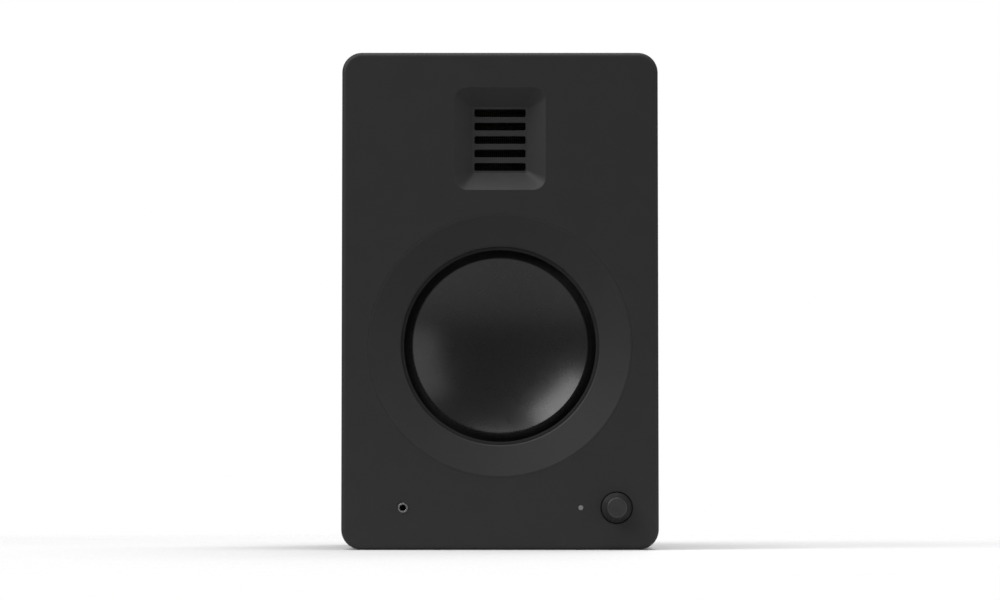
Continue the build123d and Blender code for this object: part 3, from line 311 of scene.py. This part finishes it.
def board_fibres():
    """Medium-density fibreboard: short matted fibres."""
    look = Finish("board_fibres", (0.34, 0.215, 0.12), 0.85, specular=0.2)
    look.vary(7 * MM, 0.12)
    for squeeze in ((6, 1, 1), (1, 6, 1), (1, 1, 6)):
        strands = look.noise(2.4 * MM, detail=3, squeeze=squeeze)
        look.shade(look.spread(strands, 0.35, 0.65, 0.9, 1.08))
        look.bump(strands, 0.05 * MM)
    look.smudge(4 * MM, 0.06)
    return look


def open_cell_foam():
    """Charcoal polyurethane foam with open pores, with painted shade in the pores."""
    look = Finish("open_cell_foam", (0.045, 0.045, 0.048), 0.93, specular=0.15)
    pores = look.cells(1.3 * MM, feature="SMOOTH_F1")
    # Painted shade: the colour darkens to less than half in the pits of the pores.
    look.shade(look.spread(pores, 0.1, 0.6, 0.45, 1.5))
    look.vary(15 * MM, 0.15)
    look.bump(pores, 0.6 * MM)
    look.smudge(2 * MM, 0.04)
    return look


def moulded_plastic(name, colour, roughness=0.5):
    """Spark-eroded mould texture: small shallow pits."""
    look = coated(name, colour, roughness, specular=0.4, grain=(0.25, 0.006), patch=9)
    look.bump(look.cells(0.45 * MM, feature="SMOOTH_F1"), 0.02 * MM)
    look.worn(0.4 * MM, 0.3, tuple(min(1.0, c * 1.8 + 0.015) for c in colour))
    return look


def soft_rubber():
    """Moulded butyl rubber, faintly bloomed."""
    look = Finish("soft_rubber", (0.0085, 0.0085, 0.009), 0.62, specular=0.3)
    look.vary(5 * MM, 0.18)
    bloom = look.spread(look.noise(11 * MM, detail=5), 0.5, 0.75)
    look.tint(look.maths("MULTIPLY", bloom, 0.3), (0.022, 0.022, 0.023))
    look.smudge(3 * MM, 0.08)
    look.bump(look.noise(0.3 * MM, detail=2), 0.01 * MM)
    look.bump(look.waves(look.radius_about(0, woofer_z), 0.8 * MM), 0.006 * MM)
    return look


def dish_satin():
    """One-piece coated cone: satin black over a faint spun texture."""
    look = Finish("dish_satin", (0.0085, 0.0085, 0.009), 0.28, specular=0.42)
    look.vary(9 * MM, 0.05)
    look.smudge(6 * MM, 0.015)
    look.bump(look.noise(0.5 * MM, detail=2), 0.002 * MM)
    look.bump(look.waves(look.radius_about(0, woofer_z), 0.6 * MM), 0.0006 * MM)
    return look


def brushed(name, colour, roughness, squeeze, patch=8):
    """Bare metal with fine lines across the squeezed axis."""
    look = Finish(name, colour, roughness, metallic=1.0)
    look.vary(patch * MM, 0.08)
    look.smudge(patch * 0.5 * MM, 0.06)
    lines = look.noise(0.9 * MM, detail=3, squeeze=squeeze)
    look.shade(look.spread(lines, 0.35, 0.65, 0.92, 1.05))
    look.bump(lines, 0.008 * MM)
    return look


def wound_copper():
    """Enamelled wire, one turn beside the next along the coil, with painted shade in the grooves between
    turns.
    """
    look = Finish("wound_copper", (0.72, 0.30, 0.13), 0.28, metallic=1.0)
    turns = look.waves(look.axis("Y"), 0.28 * MM)
    # Painted shade: the colour darkens to about a third in the grooves between turns.
    look.shade(look.spread(turns, 0.0, 0.5, 0.35, 1.05))
    look.vary(6 * MM, 0.08)
    look.smudge(2 * MM, 0.06)
    look.bump(turns, 0.09 * MM)
    return look


def braided_copper():
    """Tinsel lead: fine strands that cross as they run, with painted shade between the strands."""
    look = Finish("braided_copper", (0.75, 0.36, 0.18), 0.35, metallic=1.0)
    along = look.axis("Z")
    for sign in (1, -1):
        slant = look.maths("MULTIPLY_ADD", look.axis("X"), sign * 1.6, along)
        strands = look.waves(slant, 0.42 * MM)
        # Painted shade: the colour darkens in the grooves between strands.
        look.shade(look.spread(strands, 0.1, 0.6, 0.6, 1.02))
        look.bump(strands, 0.05 * MM)
    look.smudge(1.5 * MM, 0.08)
    return look


def woven_spider():
    """Resin-dipped woven cotton, with painted shade between the threads."""
    look = Finish("woven_spider", (0.42, 0.25, 0.075), 0.8, specular=0.25)
    look.vary(6 * MM, 0.14)
    for name in ("X", "Z"):
        threads = look.waves(look.axis(name), 0.55 * MM)
        # Painted shade: the colour darkens in the grooves between threads.
        look.shade(look.spread(threads, 0.0, 0.5, 0.72, 1.04))
        look.bump(threads, 0.07 * MM)
    look.smudge(2.5 * MM, 0.08)
    return look


def black_zinc():
    """Blackened zinc on screw heads, rubbed bright on the edges."""
    return coated(
        "black_zinc",
        (0.035, 0.035, 0.037),
        0.38,
        grain=(0.4, 0.006),
        patch=3,
        metallic=0.6,
        wear=(0.25, 0.25, 0.26),
    )


def powder_coat():
    """Fine-grained powder coat on die-cast and sheet metal."""
    return coated(
        "powder_coat",
        (0.026, 0.026, 0.027),
        0.5,
        grain=(0.9, 0.025),
        patch=10,
        specular=0.4,
        wear=(0.07, 0.07, 0.07),
    )


def plated(name, colour, roughness, patch=6):
    """Electroplated metal: cloudy gloss, fine pitting and handling marks."""
    look = Finish(name, colour, roughness, metallic=1.0)
    look.vary(patch * MM, 0.07)
    look.smudge(patch * 0.4 * MM, 0.07)
    look.bump(look.noise(0.4 * MM, detail=3), 0.0007 * MM)
    look.scratches(1.5 * MM, 0.001 * MM)
    look.worn(0.3 * MM, 0.35, tuple(c * 0.55 for c in colour))
    return look


def zinc_steel():
    """Zinc-plated steel with a faint yellow and blue bloom."""
    look = plated("zinc_steel", (0.60, 0.61, 0.63), 0.36, patch=9)
    look.tint(look.spread(look.noise(14 * MM), 0.45, 0.75, 0.0, 0.35), (0.58, 0.54, 0.42))
    look.tint(look.spread(look.noise(10 * MM, detail=4), 0.5, 0.8, 0.0, 0.3), (0.46, 0.52, 0.64))
    return look


def ferrite():
    """Pressed and fired ceramic magnet, ground on its faces."""
    look = Finish("ferrite", (0.055, 0.056, 0.060), 0.58, specular=0.5)
    look.vary(3 * MM, 0.2)
    look.shade(look.spread(look.cells(0.7 * MM), 0.0, 0.5, 0.75, 1.15))
    look.smudge(5 * MM, 0.12)
    look.bump(look.cells(0.5 * MM), 0.03 * MM)
    look.worn(0.7 * MM, 0.7, (0.12, 0.12, 0.125))
    return look


def phenolic():
    """Brown paper and resin board."""
    look = Finish("phenolic", (0.30, 0.14, 0.045), 0.45)
    look.vary(2 * MM, 0.15)
    fibres = look.noise(1.2 * MM, detail=3, squeeze=(8, 1, 1))
    look.shade(look.spread(fibres, 0.4, 0.65, 0.88, 1.08))
    look.smudge(1.5 * MM, 0.08)
    look.bump(fibres, 0.02 * MM)
    return look


def pleated_foil():
    """Folded film with an etched aluminium strip on it."""
    look = Finish("pleated_foil", (0.20, 0.19, 0.18), 0.38, metallic=0.9)
    strips = look.waves(look.axis("X"), 1.1 * MM)
    look.tint(look.spread(strips, 0.55, 0.75), (0.05, 0.035, 0.02))
    look.vary(4 * MM, 0.1)
    look.smudge(2 * MM, 0.08)
    look.bump(strips, 0.12 * MM)
    look.bump(look.noise(1.4 * MM, detail=4), 0.02 * MM)
    return look


def circuit_board():
    """Green solder mask over copper tracks, with tinned pads on a grid."""
    look = Finish("circuit_board", (0.010, 0.085, 0.030), 0.38)
    look.vary(8 * MM, 0.1)
    for name, ends in (("X", (0.0, 1.0)), ("Z", (1.0, 0.0))):
        lanes = look.spread(look.waves(look.axis(name), 1.9 * MM), 0.8, 0.9)
        chosen = look.spread(look.noise(7 * MM, detail=1), 0.5, 0.52, *ends)
        tracks = look.maths("MULTIPLY", lanes, chosen)
        look.tint(tracks, (0.025, 0.17, 0.06))
        look.bump(tracks, 0.03 * MM)
    pads = look.spread(look.cells(2.54 * MM, randomness=0.0), 0.22, 0.18)
    used = look.spread(look.noise(9 * MM, detail=2), 0.56, 0.58)
    look.tint(look.maths("MULTIPLY", pads, used), (0.62, 0.62, 0.58))
    look.smudge(3 * MM, 0.08)
    return look


def socket_colours():
    """Plastic inserts in the phono sockets: white above, red below, and a black one for the subwoofer."""
    look = moulded_plastic("socket_colours", (0.74, 0.73, 0.70), 0.38)
    low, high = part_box("rca_insulators")
    lower_row = look.spread(look.axis("Z"), (low.z + high.z) / 2, (low.z + high.z) / 2 - MM)
    look.tint(lower_row, (0.45, 0.012, 0.012))
    lone_socket = look.spread(look.axis("X"), low.x + 16 * MM, low.x + 15 * MM)
    look.tint(lone_socket, (0.02, 0.02, 0.021))
    return look


def turned_knob():
    """Fine soft-touch coat over a face turned in close rings."""
    look = coated("turned_knob", BODY_BLACK, 0.42, specular=0.45, grain=(0.2, 0.004), patch=5)
    look.bump(look.waves(look.radius_about(knob_x, knob_z), 0.45 * MM), 0.008 * MM)
    look.worn(0.4 * MM, 0.5, (0.06, 0.06, 0.06))
    return look


def frosted_lens():
    """Small milky light window, dimly lit from behind."""
    look = Finish("frosted_lens", (0.16, 0.165, 0.17), 0.35)
    look.vary(0.8 * MM, 0.06)
    look.smudge(0.6 * MM, 0.08)
    look.bump(look.noise(0.15 * MM), 0.006 * MM)
    look.shader.inputs["Emission Color"].default_value = (0.85, 0.9, 1.0, 1)
    look.shader.inputs["Emission Strength"].default_value = 0.03
    look.shader.inputs["Subsurface Weight"].default_value = 0.2
    look.shader.inputs["Subsurface Scale"].default_value = 0.5 * MM
    return look


def outline_box(look, centre_x, centre_z, half_x, half_z, corner, width):
    """1 on a thin rounded rectangle drawn on a wall that faces Y."""
    outside = []
    for name, centre, half in (("X", centre_x, half_x), ("Z", centre_z, half_z)):
        off = look.maths("ABSOLUTE", look.maths("SUBTRACT", look.axis(name), centre))
        outside.append(look.maths("SUBTRACT", off, half - corner))
    clipped = [look.maths("MAXIMUM", value, 0.0) for value in outside]
    squares = [look.maths("POWER", value, 2.0) for value in clipped]
    corner_gap = look.maths("SQRT", look.maths("ADD", *squares))
    inner_gap = look.maths("MINIMUM", look.maths("MAXIMUM", *outside), 0.0)
    gap = look.maths("SUBTRACT", look.maths("ADD", corner_gap, inner_gap), corner)
    return look.spread(look.maths("ABSOLUTE", gap), width * 0.6, width * 0.4)


def printed_panel():
    """Black anodised plate with thin printed boxes round the groups of sockets."""
    look = coated("printed_panel", (0.022, 0.022, 0.023), 0.45, specular=0.45, grain=(0.3, 0.008), patch=14)
    look.scratches(2 * MM, 0.006 * MM, squeeze=(1, 1, 12))
    look.worn(0.4 * MM, 0.6, (0.16, 0.16, 0.165))
    groups = (
        (("rca_insulators", "ground_screw"), 1.8),
        (("optical_socket", "usb_socket"), 1.8),
        (("post_base",), 3),
    )
    for nodes, margin in groups:
        corners = [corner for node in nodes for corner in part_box(node)]
        low_x, high_x = min(c.x for c in corners), max(c.x for c in corners)
        low_z, high_z = min(c.z for c in corners), max(c.z for c in corners)
        half_x = (high_x - low_x) / 2 + margin * MM
        half_z = (high_z - low_z) / 2 + margin * MM
        centre = ((low_x + high_x) / 2, (low_z + high_z) / 2)
        look.tint(outline_box(look, *centre, half_x, half_z, 2.5 * MM, 0.35 * MM), (0.55, 0.55, 0.55))
    return look


def gold_plate():
    """Gold flash over turned brass."""
    look = plated("gold_plate", (0.95, 0.66, 0.26), 0.22, patch=4)
    look.bump(look.waves(look.axis("Y"), 0.22 * MM), 0.0008 * MM)
    return look


def gloss_plastic(name, colour):
    """Polished moulding with fine wiping marks."""
    look = coated(name, colour, 0.14, specular=0.5, grain=(0.6, 0.0015), patch=7)
    look.roughness = look.spread(look.noise(3 * MM, detail=5), 0.35, 0.7, 0.1, 0.24)
    look.worn(0.3 * MM, 0.4, tuple(min(1.0, c * 1.6 + 0.01) for c in colour))
    return look


def winding_tape():
    """Yellow polyester tape, lapped round the core."""
    look = Finish("winding_tape", (0.72, 0.52, 0.10), 0.32)
    laps = look.waves(look.axis("Z"), 6 * MM)
    look.shade(look.spread(laps, 0.9, 1.0, 1.0, 0.72))
    look.vary(5 * MM, 0.08)
    look.smudge(3 * MM, 0.08)
    look.bump(laps, 0.05 * MM)
    look.bump(look.noise(3 * MM, detail=3, squeeze=(1, 1, 4)), 0.08 * MM)
    return look


def capacitor_sleeve():
    """Shrunk vinyl sleeve, dark blue."""
    look = Finish("capacitor_sleeve", (0.012, 0.022, 0.075), 0.25)
    look.vary(5 * MM, 0.1)
    look.smudge(2.5 * MM, 0.07)
    look.bump(look.noise(2.2 * MM, detail=3), 0.03 * MM)
    look.worn(0.4 * MM, 0.5, (0.06, 0.08, 0.16))
    return look


def wire_jacket():
    """Drawn vinyl insulation, dark grey."""
    look = Finish("wire_jacket", (0.035, 0.035, 0.037), 0.42)
    look.vary(9 * MM, 0.12)
    look.smudge(3 * MM, 0.07)
    look.bump(look.noise(0.8 * MM, detail=2, squeeze=(1, 0.2, 1)), 0.02 * MM)
    look.bump(look.noise(6 * MM, detail=1), 0.05 * MM)
    return look


def sink_metal():
    """Extruded aluminium: lines along the fins."""
    look = brushed("sink_metal", (0.72, 0.73, 0.74), 0.38, squeeze=(8, 8, 1), patch=10)
    look.worn(0.3 * MM, 0.5, (0.5, 0.5, 0.51))
    return look


SLOT_LOOKS = {
    "cabinet_black": lambda: cabinet_lacquer("cabinet_lacquer"),
    "raw_board": board_fibres,
    "foam": open_cell_foam,
    "rubber_black": soft_rubber,
    "plastic_black": lambda: moulded_plastic("moulded_black", (0.024, 0.024, 0.025)),
    "brass_insert": lambda: plated("turned_brass", (0.78, 0.53, 0.22), 0.3),
    "trim_black": lambda: cabinet_lacquer("trim_lacquer"),
    "screw_black": black_zinc,
    "basket_black": powder_coat,
    "dish_black": dish_satin,
    "former_alu": lambda: brushed("former_foil", (0.80, 0.80, 0.81), 0.28, squeeze=(1, 10, 1)),
    "copper": wound_copper,
    "spider_cloth": woven_spider,
    "plated_steel": zinc_steel,
    "ferrite": ferrite,
    "terminal_board": phenolic,
    "pleated_foil": pleated_foil,
    "magnet_nickel": lambda: plated("magnet_nickel", (0.64, 0.62, 0.58), 0.24),
    "circuit_green": circuit_board,
    "nickel": lambda: plated("nickel_plate", (0.66, 0.64, 0.60), 0.2, patch=4),
    "white_plastic": lambda: moulded_plastic("moulded_white", (0.70, 0.69, 0.66), 0.4),
    "knob_black": turned_knob,
    "light_lens": frosted_lens,
    "panel_black": printed_panel,
    "gold": gold_plate,
    "red_plastic": lambda: gloss_plastic("gloss_red", (0.42, 0.010, 0.010)),
    "gloss_black": lambda: gloss_plastic("gloss_black", (0.012, 0.012, 0.013)),
    "sink_alu": sink_metal,
    "transformer_tape": winding_tape,
    "capacitor_sleeve": capacitor_sleeve,
    "wire_jacket": wire_jacket,
}


def dress_nodes(looks):
    """Gives every node of the frame the finish of its slot."""
    slots = {part["node"]: part["material_slot"] for part in frame["record"]["subparts"]}
    for node, piece in frame["nodes"].items():
        look = looks[slots[node]]
        for place in range(len(piece.material_slots)):
            piece.material_slots[place].material = look
    for node in ("rca_insulators", "jack_ring"):
        for place in frame["nodes"][node].material_slots:
            place.material = looks[node]


# Soft pieces of the woofer and the lining


def mesh_piece(name, mesh, look):
    """Links a mesh as a piece with its slot and finish, smooth but for its sharp edges."""
    mesh.shade_smooth()
    mesh.set_sharp_from_angle(angle=math.radians(40))
    mesh.materials.clear()
    mesh.materials.append(look)
    piece = bpy.data.objects.new(name, mesh)
    bpy.context.scene.collection.objects.link(piece)
    return piece


def lathe(name, outline, segments, x=0.0, z=None):
    """Turns a closed outline of (depth, radius), in millimetres, about an axis along Y.

    The axis is the woofer's if none is given.
    """
    middle_z = woofer_z if z is None else z
    shape = bmesh.new()
    rings = []
    for i in range(segments):
        angle = 2 * math.pi * i / segments
        across, up = MM * math.cos(angle), MM * math.sin(angle)
        rings.append([shape.verts.new((x + r * across, behind(d), middle_z + r * up)) for d, r in outline])
    for i, ring in enumerate(rings):
        beside = rings[(i + 1) % segments]
        for j in range(len(outline)):
            after = (j + 1) % len(outline)
            if outline[j][1] or outline[after][1]:
                shape.faces.new((ring[j], ring[after], beside[after], beside[j]))
    bmesh.ops.remove_doubles(shape, verts=shape.verts, dist=0.0005 * MM)
    bmesh.ops.recalc_face_normals(shape, faces=shape.faces)
    mesh = bpy.data.meshes.new(name)
    shape.to_mesh(mesh)
    shape.free()
    return mesh


def bow(start, middle, end, steps):
    """Points of the arc through three points of a (depth, radius) outline."""
    (ax, ay), (bx, by), (cx, cy) = start, middle, end
    turn = 2 * (ax * (by - cy) + bx * (cy - ay) + cx * (ay - by))
    a2, b2, c2 = ax * ax + ay * ay, bx * bx + by * by, cx * cx + cy * cy
    ux = (a2 * (by - cy) + b2 * (cy - ay) + c2 * (ay - by)) / turn
    uy = (a2 * (cx - bx) + b2 * (ax - cx) + c2 * (bx - ax)) / turn
    first, last = math.atan2(ay - uy, ax - ux), math.atan2(cy - uy, cx - ux)
    sweep = (last - first + math.pi) % (2 * math.pi) - math.pi
    radius = math.hypot(ax - ux, ay - uy)
    angles = [first + sweep * i / steps for i in range(steps + 1)]
    return [(ux + radius * math.cos(a), uy + radius * math.sin(a)) for a in angles]


def make_dish(look):
    """One-piece dished cone with a rolled rim."""
    sphere_r, centre, thickness, rim_r, face_r = 91.86, 20.0, 1.0, 48.75, 48.0

    def side(offset, last):
        radii = [last * i / 60 for i in range(61)]
        return [(centre + offset - sphere_r + math.sqrt(sphere_r**2 - r**2), r) for r in radii]

    front_side = side(0, face_r)
    lip = front_side[-1][0]
    rim = [(lip - 0.16, 48.3), (lip - 0.1, 48.6), (lip + 0.15, rim_r), (lip + 0.6, rim_r + 0.1)]
    outline = front_side + rim + side(thickness, face_r - 0.5)[::-1]
    dish = mesh_piece("dish_cone", lathe("dish_cone", outline, 192), look)
    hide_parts("woofer_dish")
    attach(dish, "woofer_cone")


def make_knob(look):
    """Turned knob: faintly dished face, small edge round and a flared skirt."""
    front, face_r, base_r, bore_r = -8.5, 5.6, 8.3, 2.52
    face_edge = (front, face_r - 0.8)
    outline = [(front + 0.35, 0), (front + 0.26, 1.5), (front + 0.13, 3.2)]
    outline += bow(face_edge, (front + 0.25, face_r - 0.25), (front + 0.8, face_r), 10)
    outline += bow((front + 0.8, face_r), (-3.2, face_r + 1.1), (0.2, base_r), 24)[1:]
    outline += [(0.7, base_r), (1.05, base_r), (1.2, base_r - 0.15), (1.2, bore_r), (-6.2, bore_r), (-6.2, 0)]
    knob = mesh_piece("turned_knob", lathe("turned_knob", outline, 128, knob_x, knob_z), look)
    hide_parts("volume_knob")
    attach(knob, "knob")


def make_jack_ring(look):
    """Plated ring round the headphone socket, with both front edges broken."""
    low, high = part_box("jack_ring")
    outer_r, inner_r, front, back = 2.65, 1.8, -0.2, 1.0
    outline = bow((front + 0.25, inner_r), (front + 0.06, inner_r + 0.08), (front, inner_r + 0.25), 5)
    outline += bow((front, outer_r - 0.25), (front + 0.06, outer_r - 0.08), (front + 0.25, outer_r), 5)
    outline += [(back, outer_r), (back, inner_r)]
    mesh = lathe("socket_ring", outline, 64, (low.x + high.x) / 2, (low.z + high.z) / 2)
    ring = mesh_piece("socket_ring", mesh, look)
    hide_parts("jack_ring")
    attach(ring, "root")


def follow_cone(piece, weight):
    """Bends a piece between the frame and the cone, by a weight worked out for each point."""
    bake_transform(piece, "root", "woofer_cone", start=(0, 0, 0), end=(0, 0, 1))
    values = piece.data.attributes["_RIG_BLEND"].data
    for vertex, value in zip(piece.data.vertices, values):
        value.value = weight(vertex.co)


def smooth_step(value, low, high):
    t = min(1.0, max(0.0, (value - low) / (high - low)))
    return t * t * (3 - 2 * t)


def axis_distance(point):
    """Distance of a point from the woofer's axis, in millimetres."""
    return math.hypot(point.x, point.z - woofer_z) / MM


def arc(centre, radius, start, end, steps):
    """Points of an arc on the (depth, radius) section, angles in degrees."""
    angles = [math.radians(start + (end - start) * i / steps) for i in range(steps + 1)]
    return [(centre[0] + radius * math.cos(a), centre[1] + radius * math.sin(a)) for a in angles]


def make_surround(look):
    """Half roll that dips inwards between the flange and the ledge under the dish."""
    roll = (9.6, 49.4)
    outer_r, skin, landing, rim = 4.6, 0.8, 7.5, 58.5
    outline = arc(roll, outer_r, -90, 90, 32)
    outline += [(landing + 1.2, roll[1] + outer_r), (landing + 0.9, roll[1] + outer_r + 0.3)]
    outline += [(landing + 0.9, rim - 2), (landing + 0.9, rim - 0.3), (landing + 0.6, rim)]
    outline += [(landing + 0.3, rim), (landing, rim - 0.3), (landing, rim - 2)]
    outline += [(landing, roll[1] + outer_r), (landing + 0.3, roll[1] + outer_r - skin)]
    outline += arc(roll, outer_r - skin, 90, -90, 32)
    surround = mesh_piece("surround_roll", lathe("surround_roll", outline, 192), look)
    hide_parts("woofer_surround")
    follow_cone(surround, lambda p: 1 - smooth_step(axis_distance(p), 45.2, 54.0))


def make_spider(look):
    """Corrugated cloth disc between the former and the shelf of the basket."""
    depth, thickness, crest, pitch = 32.0, 0.6, 1.0, 4.2
    neck_r, first_r, last_r, shelf_r = 13.2, 15.0, 36.0, 40.5
    shelf = depth + 0.8
    front_side = [(depth, neck_r), (depth, (neck_r + first_r) / 2)]
    steps = 70
    for i in range(steps + 1):
        radius = first_r + (last_r - first_r) * i / steps
        phase = 2 * math.pi * (radius - first_r) / pitch
        front_side.append((depth + crest * math.sin(phase), radius))
    front_side += [(shelf, 37.0), (shelf, 38.5), (shelf, shelf_r)]
    back_side = [(d + thickness, radius) for d, radius in reversed(front_side)]
    outline = front_side + back_side
    spider = mesh_piece("spider_cloth", lathe("spider_cloth", outline, 160), look)
    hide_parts("woofer_spider")
    follow_cone(spider, lambda p: 1 - smooth_step(axis_distance(p), neck_r, 37.0))


def make_leads(look):
    """Two braided leads from the terminal strip up to the back of the dish."""
    route = ((34.1, 62.6), (28.5, 63.2), (24.5, 70.6), (25.5, 80.6), (23.5, 87.6), (18.4, 88.6))
    low, high = 63.0 * MM, 88.0 * MM
    shapes = bmesh.new()
    for x in (-4.5, 4.5):
        curve = bpy.data.curves.new("lead_route", "CURVE")
        curve.dimensions = "3D"
        spline = curve.splines.new("NURBS")
        spline.points.add(len(route) - 1)
        for point, (depth, z) in zip(spline.points, route):
            point.co = (x * MM, behind(depth), z * MM, 1)
        spline.order_u = 3
        spline.use_endpoint_u = True
        curve.resolution_u = 12
        curve.bevel_depth = 0.6 * MM
        curve.bevel_resolution = 4
        curve.use_fill_caps = True
        holder = bpy.data.objects.new("lead_route", curve)
        bpy.context.scene.collection.objects.link(holder)
        tube = bpy.data.meshes.new_from_object(holder.evaluated_get(bpy.context.evaluated_depsgraph_get()))
        shapes.from_mesh(tube)
        bpy.data.objects.remove(holder)
        bpy.data.curves.remove(curve)
        bpy.data.meshes.remove(tube)
    bmesh.ops.remove_doubles(shapes, verts=shapes.verts, dist=0.001 * MM)
    mesh = bpy.data.meshes.new("lead_braid")
    shapes.to_mesh(mesh)
    shapes.free()
    leads = mesh_piece("lead_braid", mesh, look)
    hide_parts("woofer_leads")
    follow_cone(leads, lambda p: smooth_step(p.z, low, high))


def make_lining(look):
    """Sheet foam round the inside walls, with soft edges and a slightly uneven cut face."""
    source = frame["nodes"]["acoustic_foam"]
    lining = mesh_piece("lining_foam", source.data.copy(), look)
    remesh = lining.modifiers.new("remesh", "REMESH")
    remesh.mode = "VOXEL"
    remesh.voxel_size = 3 * MM
    remesh.use_smooth_shade = True
    evaluated = lining.evaluated_get(bpy.context.evaluated_depsgraph_get())
    mesh = bpy.data.meshes.new_from_object(evaluated)
    lining.modifiers.clear()
    lining.data = mesh
    wave = 2 * math.pi / (16 * MM)
    normals = [vertex.normal.copy() for vertex in mesh.vertices]
    for vertex, normal in zip(mesh.vertices, normals):
        x, y, z = vertex.co
        dip = 2 + math.sin(wave * (x + 0.3 * z)) * math.sin(wave * y) + math.sin(wave * z)
        vertex.co = vertex.co - normal * (0.5 * dip * MM)
    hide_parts("acoustic_foam")
    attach(lining, "root")


make_camera()
looks = {slot: make().done() for slot, make in SLOT_LOOKS.items()}
looks["rca_insulators"] = socket_colours().done()
looks["jack_ring"] = plated("dark_nickel", (0.28, 0.275, 0.265), 0.3, patch=3).done()
looks["lead_braid"] = braided_copper().done()
dress_nodes(looks)
make_dish(looks["dish_black"])
make_knob(looks["knob_black"])
make_jack_ring(looks["jack_ring"])
make_surround(looks["rubber_black"])
make_spider(looks["spider_cloth"])
make_leads(looks["lead_braid"])
make_lining(looks["foam"])
make_floor()
make_lights()
make_world()
